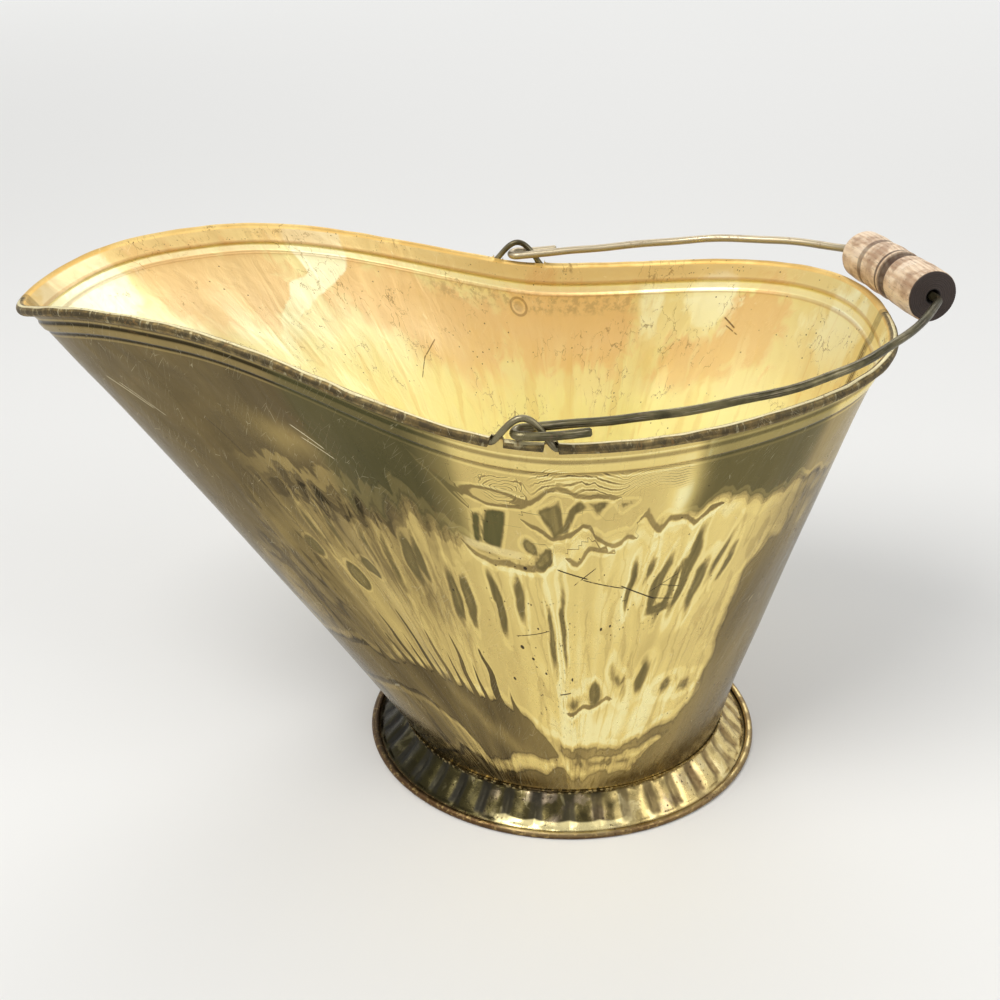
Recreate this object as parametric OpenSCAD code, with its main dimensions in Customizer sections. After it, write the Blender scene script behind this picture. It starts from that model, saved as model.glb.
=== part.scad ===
// Brass coal scuttle: two side panels seamed at the front and the rear, a rolled and wired rim that
// dips at the sides and rises to a pouring lip, a crimped foot, and a wire bail with a turned grip.
// Millimetres, +Z up. The origin is the middle of the foot, on the floor. The lip points to -X.

/* [Body] */
// Reach of the rim's bead behind the foot's axis
rear_reach = 157; // [140:1:172]
// Reach of the rim's bead in front of the foot's axis, at the pouring lip
lip_reach = 275; // [240:1:310]
// Half of the mouth's greatest width, to the middle of the bead
mouth_half_width = 121.5; // [110:0.5:135]
// Half of the spout's width midway between the widest place and the lip
spout_half_width = 88.2; // [78:0.2:98]
// Distance in front of the foot's axis at which the mouth is widest
widest_at = 35; // [20:1:50]
// Squareness of the rear of the mouth in plan, where 2 is an ellipse
rear_squareness = 2.55; // [2.1:0.05:3]
// Radius of the lip's nose in plan
lip_nose_radius = 34.5; // [25:0.5:45]
// Radius of the body where it meets the foot, to the middle of the sheet
body_bottom_radius = 89; // [82:0.5:96]
// Thickness of the brass sheet of the body
sheet = 0.9; // [0.7:0.05:1.3]
// How far the side sags inward from a straight line between the rim and the foot
side_hollow = 2.4; // [0:0.1:5]

/* [Rim height] */
// Height of the bead at the rear
rim_rear_z = 245.5; // [235:0.5:260]
// Rise of the bead for each millimetre towards the rear, at the rear
rim_rear_slope = 0.08; // [0:0.01:0.2]
// Height of the bead at the lowest place of the sides
rim_dip_z = 228.5; // [215:0.5:234]
// Distance in front of the foot's axis of the lowest place
rim_dip_at = 6; // [-4:1:16]
// Height of the bead at the crest of the spout
rim_crest_z = 265.5; // [255:0.5:285]
// Distance in front of the foot's axis of the crest
rim_crest_at = 195; // [180:1:210]
// Height of the bead at the lip
rim_lip_z = 250.5; // [240:0.5:262]
// Fall of the bead for each millimetre towards the lip, at the lip
rim_lip_slope = 0.56; // [0.3:0.02:0.7]

/* [Rim and seams] */
// Diameter of the iron wire in the rolled rim
rim_wire_d = 3.2; // [2.6:0.1:4]
// Angle through which the sheet is rolled round the rim wire
roll_angle = 285; // [240:5:295]
// Distance of the swaged band below the bead
band_drop = 9; // [6:0.5:14]
// Height of the swaged band
band_height = 6.5; // [5:0.5:10]
// How far the swaged band stands out
band_proud = 0.7; // [0.3:0.1:1.2]
// Width of each panel's folded edge at the seams
seam_fold = 3.5; // [2.5:0.1:5]
// How far the folded edges stand out from the sheet
seam_proud = 1.2; // [0.8:0.1:1.8]

/* [Ears] */
// Distance of the ears in front of the foot's axis
ear_at = 26; // [18:1:32]
// Half of the length of rim that each ear takes up
ear_half_length = 14.5; // [13:0.5:18]
// Length over which the roll opens beside an ear
roll_fade = 4.2; // [3:0.2:6]
// Height of the ear's top above the bead, wire middle to wire middle
ear_rise = 13.5; // [12.5:0.5:18]

/* [Foot] */
// Outer diameter of the foot's rolled edge
foot_d = 216; // [208:1:228]
// Height of the seam between the body and the foot
foot_height = 18.6; // [16.5:0.2:24]
// Thickness of the foot's sheet
foot_sheet = 0.6; // [0.5:0.05:0.8]
// Diameter of the wire in the foot's rolled edge
foot_wire_d = 2.6; // [2.2:0.1:3.2]
// Number of crimps round the foot
crimps = 40; // [30:1:48]
// Depth of the crimps
crimp_depth = 1.8; // [0.8:0.1:2]
// Height at which the bottom is set in above the floor
bottom_height = 12.4; // [11:0.2:14]

/* [Bail] */
// Diameter of the bail's wire
bail_wire_d = 4.2; // [3.4:0.1:4.6]
// Height of the bail's pivot above the middle of the bead
pivot_rise = 6; // [5.4:0.1:6.6]
// How far the rear bead stands in from the top of the resting grip's side
rest_overhang = 5; // [3:0.1:5.4]
// How far in front of the rear bead the near bend's corner is
near_corner_in = 29.3; // [20:0.1:40]
// How far behind the rear bead the corner at the grip's near end is
grip_near_out = 23.7; // [22:0.1:30]
// Sideways place of the corner at the grip's near end
grip_near_side = -13; // [-18:0.5:-8]
// How far behind the rear bead the corner at the grip's far end is
grip_far_out = -0.3; // [-2:0.1:8]
// Sideways place of the corner at the grip's far end
grip_far_side = 72; // [68:0.5:77]
// How far in front of the rear bead the far bend's corner is
far_corner_in = 50.3; // [42:0.1:58]
// Bend of the leg nearest the viewer
near_bend = 170; // [150:5:185]
// Bend of the far leg
far_bend = 150; // [130:5:158]
// Length of the near hook's tongue
near_tongue = 30; // [24:1:44]
// Length of the far hook's tongue
far_tongue = 22; // [14:1:30]
// Fall of the tongues below the legs, in degrees
tongue_fall = 2; // [0:0.5:10]

/* [Grip] */
// Length of the turned grip
grip_length = 75; // [66:1:76]
// Largest diameter of the grip
grip_d = 27.2; // [24:0.2:30]
// Diameter of the worn mouths of the grip's bore
grip_mouth_d = 7; // [6:0.1:9]
// Depth of the worn mouths
grip_mouth_depth = 7; // [3:0.5:12]
// Depth of the waist groove
waist_depth = 2.4; // [1:0.1:4]

/* [Hidden] */
// Clearances: wire in its roll, sheet round sheet, moving wire past fixed wire, grip on its wire
wire_gap = 0.1;
sheet_gap = 0.1;
swing_gap = 0.45;
grip_gap = 0.2;
fine = 64;

rim_wire_r = rim_wire_d / 2;
bail_wire_r = bail_wire_d / 2;
roll_r = rim_wire_r + wire_gap + sheet / 2;
rear_span = rear_reach + widest_at;
lip_span = lip_reach - widest_at;

// Plan of the spout: half width = mouth * sqrt(1 - u) * (1 + u/2 + a u^2 + b u^3), with u from the
// widest place (0) to the lip (1). a and b follow from the width midway and the radius of the nose.
nose = sqrt(2 * lip_span * lip_nose_radius) / mouth_half_width;
midway = spout_half_width / (mouth_half_width * sqrt(0.5));
spout_a = 8 * (midway - 1.25) - (nose - 1.5);
spout_b = (nose - 1.5) - spout_a;

function unit(v) = v / norm(v);
function cubic(t, p0, p1, m0, m1) =
    (2 * t ^ 3 - 3 * t ^ 2 + 1) * p0 + (t ^ 3 - 2 * t ^ 2 + t) * m0
    + (3 * t ^ 2 - 2 * t ^ 3) * p1 + (t ^ 3 - t ^ 2) * m1;

// Height of the bead at x, from the rear to the lip
function rim_z(x) =
    x >= -rim_dip_at
        ? let (h = rear_reach + rim_dip_at)
          cubic((x + rim_dip_at) / h, rim_dip_z, rim_rear_z, 0, rim_rear_slope * h)
        : x >= -rim_crest_at
            ? let (h = rim_crest_at - rim_dip_at)
              cubic((x + rim_crest_at) / h, rim_crest_z, rim_dip_z, 0, 0)
            : let (h = lip_reach - rim_crest_at)
              cubic((x + lip_reach) / h, rim_lip_z, rim_crest_z, rim_lip_slope * h, 0);
function rim_slope(x) = (rim_z(min(x + 0.01, rear_reach)) - rim_z(x - 0.01))
    / (min(x + 0.01, rear_reach) - x + 0.01);

function spout_fill(u) = 1 + u / 2 + spout_a * u ^ 2 + spout_b * u ^ 3;
function spout_fill_rate(u) = 0.5 + 2 * spout_a * u + 3 * spout_b * u ^ 2;
function rear_u(x) = min(1, (x + widest_at) / rear_span);
function lip_u(x) = min(1, -(x + widest_at) / lip_span);

// Half width of the mouth at x, and the direction that the rim faces there in plan
function rim_y(x) =
    x >= -widest_at
        ? mouth_half_width * (1 - rear_u(x) ^ rear_squareness) ^ (1 / rear_squareness)
        : mouth_half_width * sqrt(1 - lip_u(x)) * spout_fill(lip_u(x));
function rim_faces(x) =
    x >= -widest_at
        ? let (u = rear_u(x), v = rim_y(x) / mouth_half_width, q = rear_squareness - 1)
          atan2(v ^ q / mouth_half_width, u ^ q / rear_span)
        : let (u = lip_u(x), s = sqrt(max(0, 1 - u)))
          s < 0.00001
              ? 180
              : atan2(lip_span, mouth_half_width * (s * spout_fill_rate(u) - spout_fill(u) / (2 * s)));

// Places along the rim: by facing at the rear, by length at the ear and the side, by facing at the lip
function rear_x_facing(a) =
    let (q = (tan(a) * mouth_half_width / rear_span) ^ (1 / (rear_squareness - 1)))
    rear_span / (1 + q ^ rear_squareness) ^ (1 / rear_squareness) - widest_at;
function rear_x_wide(y) =
    rear_span * (1 - (y / mouth_half_width) ^ rear_squareness) ^ (1 / rear_squareness) - widest_at;
function lip_x_wide(y) = (y / (mouth_half_width * nose)) ^ 2 * lip_span - lip_reach;
ear_open = ear_half_length + 0.3;
ear_from = ear_open + roll_fade - ear_at;
ear_to = -ear_open - roll_fade - ear_at;
fade_steps = 4;
ear_steps = 14;
side_steps = 9;
step = 0.02;
nose_from = lip_x_wide(lip_nose_radius * tan(60));
rim_places = concat(
    [rear_reach, rear_x_wide(seam_fold), rear_x_wide(seam_fold + step)],
    [for (a = [5 : 5 : 85]) if (rear_x_facing(a) > ear_from + 3) rear_x_facing(a)],
    [for (i = [0 : fade_steps - 1]) ear_from - roll_fade * i / fade_steps],
    [for (i = [0 : ear_steps]) ear_open * (1 - 2 * i / ear_steps) - ear_at],
    [for (i = [1 : fade_steps]) -ear_open - ear_at - roll_fade * i / fade_steps],
    [for (i = [1 : side_steps]) ear_to + (nose_from - ear_to) * i / side_steps],
    [for (a = [55 : -5 : 10]) lip_x_wide(lip_nose_radius * tan(a))],
    [lip_x_wide(seam_fold + step), lip_x_wide(seam_fold), -lip_reach]
);
last_place = len(rim_places) - 1;
function folded(i) = i < 2 || i > last_place - 2;

// The roll is cut away at the ears, where the wire leaves it, and opens and closes over a short length
function roll_turn(x) =
    let (f = min(1, max(0, (abs(x + ear_at) - ear_open) / roll_fade)))
    4 + (roll_angle - 4) * f;

function bead(x) = [x, rim_y(x), rim_z(x)];
function facing(x) = [cos(rim_faces(x)), sin(rim_faces(x)), 0];
function along(x) = unit([-sin(rim_faces(x)), cos(rim_faces(x)), -rim_slope(x) * sin(rim_faces(x))]);

// Foot of the ruling that starts at place i: the seams keep their width down to the bottom
seam_angle = asin(seam_fold / body_bottom_radius);
function foot_angle(i) =
    i == 0 ? 0 : i == 1 ? seam_angle : i == last_place ? 180 : i == last_place - 1 ? 180 - seam_angle
    : let (a = seam_angle + rim_faces(rim_places[i]) * (180 - 2 * seam_angle) / 180)
      i == 2 ? seam_angle + 0.02 : i == last_place - 2 ? 180 - seam_angle - 0.02 : a;
function foot_point(i, r, z) = [r * cos(foot_angle(i)), r * sin(foot_angle(i)), z];

// Section of a side panel at place i: [point of the sheet's middle, direction to its inner face,
// extra thickness outside]. It starts at the roll's free edge and ends at the panel's bottom edge.
roll_steps = 7;
hollow_steps = 2;
function panel_line(i) =
    let (
        x = rim_places[i],
        p = bead(x),
        t = along(x),
        b = foot_point(i, body_bottom_radius, foot_height),
        d0 = unit(b - p + roll_r * facing(x)),
        m = unit(cross(d0, t)),
        d = cross(t, m),
        top = p - roll_r * m,
        long = norm(b - top),
        turn = roll_turn(x),
        extra = folded(i) ? seam_proud : 0,
        ease = 1.5,
        marks = [
            [ease, 0],
            [band_drop, 0],
            [band_drop + ease, band_proud],
            [band_drop + band_height - ease, band_proud],
            [band_drop + band_height, 0]
        ],
        from = band_drop + band_height
    )
    concat(
        [for (j = [0 : roll_steps]) let (a = turn * (1 - j / roll_steps), n = -cos(a) * m - sin(a) * d)
            [p + roll_r * n, n, 0]],
        [for (k = marks) [top + (b - top) * k[0] / long + m * (k[1] - hollow_at(k[0] / long)), -m, extra]],
        [for (j = [1 : hollow_steps]) let (f = (from + (long - from) * j / (hollow_steps + 1)) / long)
            [top + (b - top) * f - m * hollow_at(f), -m, extra]],
        [[foot_point(i, body_bottom_radius, foot_height + 1), -m, 0]],
        [[foot_point(i, body_bottom_radius, foot_height - 1), foot_point(i, -1, 0), 0]],
        [[foot_point(i, body_bottom_radius, foot_height - panel_tuck), foot_point(i, -1, 0), 0]]
    );
function hollow_at(f) = side_hollow * 4 * f * (1 - f);
panel_tuck = foot_height - bottom_height + 1.2;

function panel_ring(i) =
    let (line = panel_line(i), n = len(line) - 1)
    concat(
        [for (j = [0 : n]) line[j][0] - line[j][1] * (sheet / 2 + line[j][2])],
        [for (j = [n : -1 : 0]) line[j][0] + line[j][1] * sheet / 2]
    );

// Faces of a tube of rings: the sides, then the two ends as strips across a folded sheet
function tube_sides(rings, size) = [
    for (i = [0 : rings - 2]) for (j = [0 : size - 1])
        let (a = i * size + j, b = i * size + (j + 1) % size)
        each [[a, b + size, b], [a, a + size, b + size]]
];
function strip_end(at, size, flip) = [
    for (j = [0 : size / 2 - 2])
        let (a = at + j, b = at + j + 1, c = at + size - 2 - j, d = at + size - 1 - j)
        each (flip ? [[a, c, b], [a, d, c]] : [[a, b, c], [a, c, d]])
];

module side_panel() {
    rings = [for (i = [0 : last_place]) panel_ring(i)];
    size = len(rings[0]);
    translate([0, sheet_gap / 2, 0])
        polyhedron(
            points = [for (r = rings) each r],
            faces = concat(
                tube_sides(last_place + 1, size),
                strip_end(0, size, false),
                strip_end(last_place * size, size, true)
            )
        );
}

module side_panel_near() {
    color("goldenrod") mirror([0, 1, 0]) side_panel();
}

module side_panel_far() {
    color("gold") side_panel();
}

// The rim wire runs in the rolled edge and humps out of it twice to make the ears
wire_sides = 8;
function ear_hump(x) =
    let (u = (x + ear_at) / ear_half_length)
    abs(u) < 1 ? ear_rise * (1 - u * u) ^ 1.5 : 0;
function wire_place(k) = k <= last_place ? rim_places[k] : rim_places[2 * last_place - k];
function wire_side(k) = k <= last_place ? -1 : 1;
function wire_point(k) = let (x = wire_place(k), p = bead(x))
    [p[0], wire_side(k) * (p[1] + sheet_gap / 2), p[2] + ear_hump(x)];
function wire_out(k) = let (n = facing(wire_place(k))) [n[0], wire_side(k) * n[1], 0];
function wire_along(k) =
    k == 0 ? [0, -1, 0] : k == 2 * last_place ? [0, -1, 0] : k == last_place ? [0, 1, 0]
    : unit(wire_point(k + 1) - wire_point(k - 1));
function wire_ring(k) =
    let (
        c = wire_point(k) + (k == 0 ? [0, -0.5, 0] : k == 2 * last_place ? [0, 0.5, 0] : [0, 0, 0]),
        t = k == 2 * last_place ? [0, -1, 0] : wire_along(k),
        n = unit(wire_out(k) - t * (wire_out(k) * t)),
        q = cross(t, n)
    )
    [for (j = [0 : wire_sides - 1]) let (a = j * 360 / wire_sides)
        c + rim_wire_r * (cos(a) * n + sin(a) * q)];

module rim_wire() {
    count = 2 * last_place + 1;
    color("dimgray")
        polyhedron(
            points = [for (k = [0 : count - 1]) each wire_ring(k)],
            faces = concat(
                tube_sides(count, wire_sides),
                [[for (j = [0 : wire_sides - 1]) j]],
                [[for (j = [wire_sides - 1 : -1 : 0]) (count - 1) * wire_sides + j]]
            )
        );
}

// The bottom is a flat disc with its edge turned down inside the body
pan_radius = body_bottom_radius - sheet / 2 - 2 * sheet_gap;
pan_edge = foot_height - panel_tuck;
module bottom_pan() {
    color("darkgoldenrod")
        difference() {
            translate([0, 0, pan_edge])
                cylinder(h = bottom_height + sheet - pan_edge, r = pan_radius, $fn = fine);
            translate([0, 0, pan_edge - 1])
                cylinder(h = bottom_height - pan_edge + 1, r = pan_radius - sheet, $fn = fine);
        }
}

// Foot: a collar round the body's bottom edge, a crimped flare, and an edge rolled over a wire
foot_wire_r = foot_wire_d / 2;
foot_roll_r = foot_wire_r + wire_gap + foot_sheet / 2;
foot_bead_r = foot_roll_r + foot_sheet / 2;
foot_roll_at = foot_d / 2 - foot_bead_r;
foot_roll_z = foot_bead_r - 0.25;
collar_radius = body_bottom_radius + sheet / 2 + sheet_gap + foot_sheet / 2;
flare_slope = 30;
flare_end = [
    foot_roll_at - foot_roll_r * sin(flare_slope),
    foot_roll_z - foot_roll_r * cos(flare_slope)
];
flange = 3;
crimp_end = [flare_end[0] - flange, flare_end[1] + flange * tan(flare_slope)];
collar_z = foot_height - 0.8;
crimp_top = [collar_radius, collar_z - 2.2];

// Middle of the crimped flare at f from the collar (0) to the flat flange (1)
function flare(f) =
    let (s = 14)
    [
        cubic(f, crimp_top[0], crimp_end[0], 1, s),
        cubic(f, crimp_top[1], crimp_end[1], -s * 0.9, -s * tan(flare_slope))
    ];
flare_steps = 4;
edge_steps = 9;
edge_from = 270 - flare_slope;
edge_turn = 273;
crimp_samples = 3;
crimp_count = crimps * crimp_samples;
function crimp(a) = abs(sin(a * crimps / 2));

// The foot's middle line in [radius, height]: down the collar, out along the flare, round the wire
foot_line = concat(
    [[collar_radius, collar_z]],
    [for (j = [0 : flare_steps]) flare(j / flare_steps)],
    [for (j = [0 : edge_steps]) let (a = edge_from + edge_turn * j / edge_steps)
        [foot_roll_at + foot_roll_r * cos(a), foot_roll_z + foot_roll_r * sin(a)]]
);
foot_last = len(foot_line) - 1;
foot_swell = [for (j = [0 : foot_last]) j > 1 && j <= flare_steps
    ? crimp_depth * sin(180 * (j - 1) / flare_steps) ^ 0.6 : 0];
foot_side = [for (j = [0 : foot_last])
    let (t = unit(foot_line[min(j + 1, foot_last)] - foot_line[max(j - 1, 0)])) [-t[1], t[0]]];
function foot_ring(a) =
    let (
        up = [for (j = [0 : foot_last])
            foot_line[j] + foot_side[j] * (foot_swell[j] * crimp(a) + foot_sheet / 2)],
        down = [for (j = [foot_last : -1 : 0])
            foot_line[j] + foot_side[j] * (foot_swell[j] * crimp(a) - foot_sheet / 2)]
    )
    [for (p = concat(up, down)) [p[0] * cos(a), p[0] * sin(a), p[1]]];

module foot_skirt() {
    size = 2 * (foot_last + 1);
    color("peru")
        difference() {
            polyhedron(
                points = [for (i = [0 : crimp_count - 1]) each foot_ring(i * 360 / crimp_count)],
                faces = [for (i = [0 : crimp_count - 1]) for (j = [0 : size - 1])
                    let (a = i * size + j, b = i * size + (j + 1) % size, c = (i + 1) % crimp_count * size)
                    each [[a, c + (j + 1) % size, b], [a, c + j, c + (j + 1) % size]]]
            );
            translate([-foot_d, -foot_d, -foot_height])
                cube([2 * foot_d, 2 * foot_d, foot_height]);
        }
}

module foot_wire() {
    color("dimgray")
        translate([0, 0, foot_roll_z])
            rotate_extrude($fn = fine)
                translate([foot_roll_at, 0])
                    circle(r = foot_wire_r, $fn = 32);
}

// Bail. Its plane holds the pivot's axis and rises to the rear, where the grip rests a hair above the
// bead. In that plane u runs from the pivot to the rear and v across, to the far side. The bail is bent
// by hand, so its corners and bends differ from side to side.
pivot = [-ear_at - 4.3, 0, rim_z(-ear_at - 4.3) + pivot_rise];
hook_r = rim_wire_r + swing_gap + bail_wire_r;
ear_y = rim_y(-ear_at - 4.3) + sheet_gap / 2;
leg_v = ear_y - hook_r;
rear_u_bail = rear_reach - pivot[0];
corners = [
    [hook_r, -leg_v],
    [rear_u_bail - near_corner_in, -leg_v],
    [rear_u_bail + grip_near_out, grip_near_side],
    [rear_u_bail + grip_far_out, grip_far_side],
    [rear_u_bail - far_corner_in, leg_v],
    [hook_r, leg_v]
];
bends = [0, near_bend, 7, 20, far_bend, 0];
rest_gap = 0.6;
bead_r = roll_r + sheet / 2;
rest_z = rim_rear_z + bead_r + rest_gap + grip_d / 2 - rest_overhang;
rest_u = rear_u_bail + (grip_near_out + grip_far_out) / 3;
bail_tilt = asin((rest_z - pivot[2]) / rest_u);
function heading(a, b) = atan2(b[1] - a[1], b[0] - a[0]);
function corner_turn(i) =
    let (t = heading(corners[i], corners[i + 1]) - heading(corners[i - 1], corners[i]))
    t > 180 ? t - 360 : t < -180 ? t + 360 : t;
function corner_cut(i) = i == 0 || i == len(corners) - 1 ? 0 : bends[i] * tan(abs(corner_turn(i)) / 2);

// The bail's middle line in its plane, from the near tongue's end to the far one's: [point, direction]
hook_steps = 8;
bend_steps = [0, 14, 4, 5, 12, 0];
bail_sides = 12;
tongue_way = [cos(tongue_fall), 0, -sin(tongue_fall)];
function hook_line(v, from, to) = [
    for (k = [from : to]) let (a = 270 - 180 * k / hook_steps)
        [[hook_r + hook_r * cos(a), v + hook_r * sin(a), 0], [sin(a), -cos(a), 0]]
];
function bend_line(i) =
    let (
        start_heading = heading(corners[i - 1], corners[i]),
        side = [-sin(start_heading), cos(start_heading)],
        start = corners[i] - corner_cut(i) * [cos(start_heading), sin(start_heading)],
        middle = start + side * bends[i]
    )
    [for (k = [0 : bend_steps[i]]) let (h = start_heading + corner_turn(i) * k / bend_steps[i])
        [[middle[0] + bends[i] * sin(h), middle[1] - bends[i] * cos(h), 0], [cos(h), sin(h), 0]]];
near_root = [hook_r, -leg_v - 2 * hook_r, 0];
far_root = [hook_r, leg_v + 2 * hook_r, 0];
bail_line = concat(
    [[near_root + near_tongue * tongue_way, -tongue_way], [near_root, unit([-1, 0, 0] - tongue_way)]],
    hook_line(-leg_v - hook_r, 1, hook_steps),
    [for (i = [1 : 4]) each bend_line(i)],
    hook_line(leg_v + hook_r, 0, hook_steps - 1),
    [[far_root, unit([1, 0, 0] + tongue_way)], [far_root + far_tongue * tongue_way, tongue_way]]
);
function bail_ring(k) =
    let (
        t = bail_line[k][1],
        n = unit([0, 0, 1] - t * t[2]),
        q = cross(t, n)
    )
    [for (j = [0 : bail_sides - 1]) let (a = j * 360 / bail_sides)
        bail_line[k][0] + bail_wire_r * (cos(a) * n + sin(a) * q)];

module bail() {
    count = len(bail_line);
    color("silver")
        translate(pivot)
            rotate([0, -bail_tilt, 0])
                polyhedron(
                    points = [for (k = [0 : count - 1]) each bail_ring(k)],
                    faces = concat(
                        tube_sides(count, bail_sides),
                        [[for (j = [0 : bail_sides - 1]) j]],
                        [[for (j = [bail_sides - 1 : -1 : 0]) (count - 1) * bail_sides + j]]
                    )
                );
}

// Grip: turned wood, loose on the straight run of the bail between the second and third corners
grip_from = 6;
grip_r = grip_d / 2;
grip_bore_r = bail_wire_r + grip_gap;
grip_heading = heading(corners[2], corners[3]);

// Outline of the turning from the near face: [share of the length, depth below the largest radius]
grip_turning = [
    [0, 1], [0.014, 0.3], [0.18, 0], [0.35, 0.4], [0.373, 0.9],
    [0.39, waist_depth - 0.4], [0.42, waist_depth], [0.447, waist_depth - 0.6],
    [0.457, 0.4], [0.475, 0.4], [0.487, 1.1], [0.505, 0.7], [0.61, 0.2], [0.705, 0.6],
    [0.727, 1.2], [0.75, 0.7], [0.86, 0.3], [0.98, 0.7], [1, 1.5]
];

module grip() {
    color("saddlebrown")
        translate(pivot)
            rotate([0, -bail_tilt, 0])
                translate([corners[2][0], corners[2][1], 0])
                    rotate([0, 0, grip_heading])
                        rotate([0, 90, 0])
                            translate([0, 0, grip_from])
                                rotate_extrude($fn = fine)
                                    polygon(concat(
                                        [[grip_mouth_d / 2, 0]],
                                        [for (k = grip_turning) [grip_r - k[1], k[0] * grip_length]],
                                        [[grip_mouth_d / 2, grip_length]],
                                        [[grip_bore_r, grip_length - grip_mouth_depth]],
                                        [[grip_bore_r, grip_mouth_depth]]
                                    ));
}

side_panel_near();
side_panel_far();
rim_wire();
bottom_pan();
foot_skirt();
foot_wire();
bail();
grip();
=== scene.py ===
"""Worn brass coal scuttle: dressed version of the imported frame.

Shapes are worked out in millimetres, as in the part's source, and turned to metres when a mesh is made.
"""
from functools import reduce

import bpy
import numpy as np
from mathutils import Matrix


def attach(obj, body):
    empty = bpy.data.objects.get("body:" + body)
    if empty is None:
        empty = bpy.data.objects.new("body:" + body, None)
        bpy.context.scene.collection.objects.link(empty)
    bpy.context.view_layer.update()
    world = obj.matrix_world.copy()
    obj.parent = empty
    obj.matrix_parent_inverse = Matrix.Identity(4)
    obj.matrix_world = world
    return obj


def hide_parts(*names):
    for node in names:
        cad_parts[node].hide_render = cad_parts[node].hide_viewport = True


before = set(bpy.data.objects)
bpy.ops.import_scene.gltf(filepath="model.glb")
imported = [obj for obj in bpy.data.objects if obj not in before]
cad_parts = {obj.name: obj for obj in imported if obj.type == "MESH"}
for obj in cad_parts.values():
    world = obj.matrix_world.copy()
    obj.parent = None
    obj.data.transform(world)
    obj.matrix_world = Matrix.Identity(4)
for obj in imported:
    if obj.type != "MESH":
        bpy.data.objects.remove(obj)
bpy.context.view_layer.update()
MM = 0.001
TO_MM = 1000


# ---------------------------------------------------------------- camera and lamps

VIEWPOINT = (-0.03756, -0.76978, 0.53632)
YAW, PITCH, ROLL_OVER = -0.0021, 0.4749, 0.0065
LENS = 58.56


def stand(item, at, axes):
    """Link an object at a point, with its own x, y and z axes along three directions."""
    item.matrix_world = Matrix.Translation(at) @ Matrix(np.transpose(axes).tolist()).to_4x4()
    bpy.context.scene.collection.objects.link(item)


def place_camera():
    """The photograph's viewpoint: 27 degrees down, looking along +Y, slightly rolled."""
    forward = np.array([-np.sin(YAW) * np.cos(PITCH), np.cos(YAW) * np.cos(PITCH), -np.sin(PITCH)])
    level = np.array([np.cos(YAW), np.sin(YAW), 0.0])
    upright = np.cross(level, forward)
    right = np.cos(ROLL_OVER) * level + np.sin(ROLL_OVER) * upright
    up = -np.sin(ROLL_OVER) * level + np.cos(ROLL_OVER) * upright
    data = bpy.data.cameras.new("viewpoint")
    data.lens, data.sensor_width, data.clip_start = LENS, 36.0, 0.01
    camera = bpy.data.objects.new("viewpoint", data)
    stand(camera, VIEWPOINT, (right, up, -forward))
    bpy.context.scene.camera = camera


def softbox(name, at, towards, size, power, shade=(1.0, 1.0, 1.0)):
    """A rectangular lamp at a point, turned to face another point."""
    data = bpy.data.lights.new(name, "AREA")
    data.shape = "RECTANGLE"
    data.size, data.size_y = size
    data.energy, data.color = power, shade
    away = unit(np.subtract(at, towards))
    side = unit(np.cross((0, 0, 1), away))
    stand(bpy.data.objects.new(name, data), at, (side, np.cross(away, side), away))


# ---------------------------------------------------------------- shader arithmetic

def maths(operation, reflected=False):
    """A method that adds one kind of Math node, with its values the other way round if reflected."""
    def method(self, *others):
        values = (*others, self) if reflected else (self, *others)
        return self.nodes.node("Math", {"operation": operation}, *values)[0]
    return method


class Flow:
    """A number that flows from a socket. Arithmetic on it adds Math nodes to its tree."""

    def __init__(self, nodes, socket):
        self.nodes, self.socket = nodes, socket

    __add__, __radd__ = maths("ADD"), maths("ADD", True)
    __sub__, __rsub__ = maths("SUBTRACT"), maths("SUBTRACT", True)
    __mul__, __rmul__ = maths("MULTIPLY"), maths("MULTIPLY", True)
    __pow__, size, wave = maths("POWER"), maths("ABSOLUTE"), maths("SINE")
    least, most = maths("MINIMUM"), maths("MAXIMUM")

    def ramp(self, low, high):
        """0 below low, 1 above high, and a smooth rise between; low may be the larger one."""
        return self.nodes.node("MapRange", {"interpolation_type": "SMOOTHSTEP", "clamp": True},
                               self, low, high, 0, 1)[0]


class Nodes:
    """A node tree under construction."""

    def __init__(self, tree):
        self.tree = tree
        tree.nodes.clear()

    def join(self, socket, value):
        if isinstance(value, Flow):
            self.tree.links.new(value.socket, socket)
        elif value is not None:
            socket.default_value = value

    def node(self, kind, settings, *values, **named):
        """A node of any kind: its settings first, then its sockets in order or by name. Gives its outputs."""
        made = self.tree.nodes.new("ShaderNode" + kind)
        for key, value in settings.items():
            setattr(made, key, value)
        shown = [s for s in made.inputs if s.enabled]
        for socket, value in zip(shown, values):
            self.join(socket, value)
        for key, value in named.items():
            self.join(next(s for s in shown if s.name == key), value)
        return [Flow(self, s) for s in made.outputs if s.enabled]

    def seen(self):
        """1 for the rays that show what lies behind the object: the camera's, mirrored and see-through ones."""
        rays = self.node("LightPath", {})
        camera, glossy, through = rays[0], rays[3], rays[6]
        return camera.most(glossy).most(through)


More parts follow.
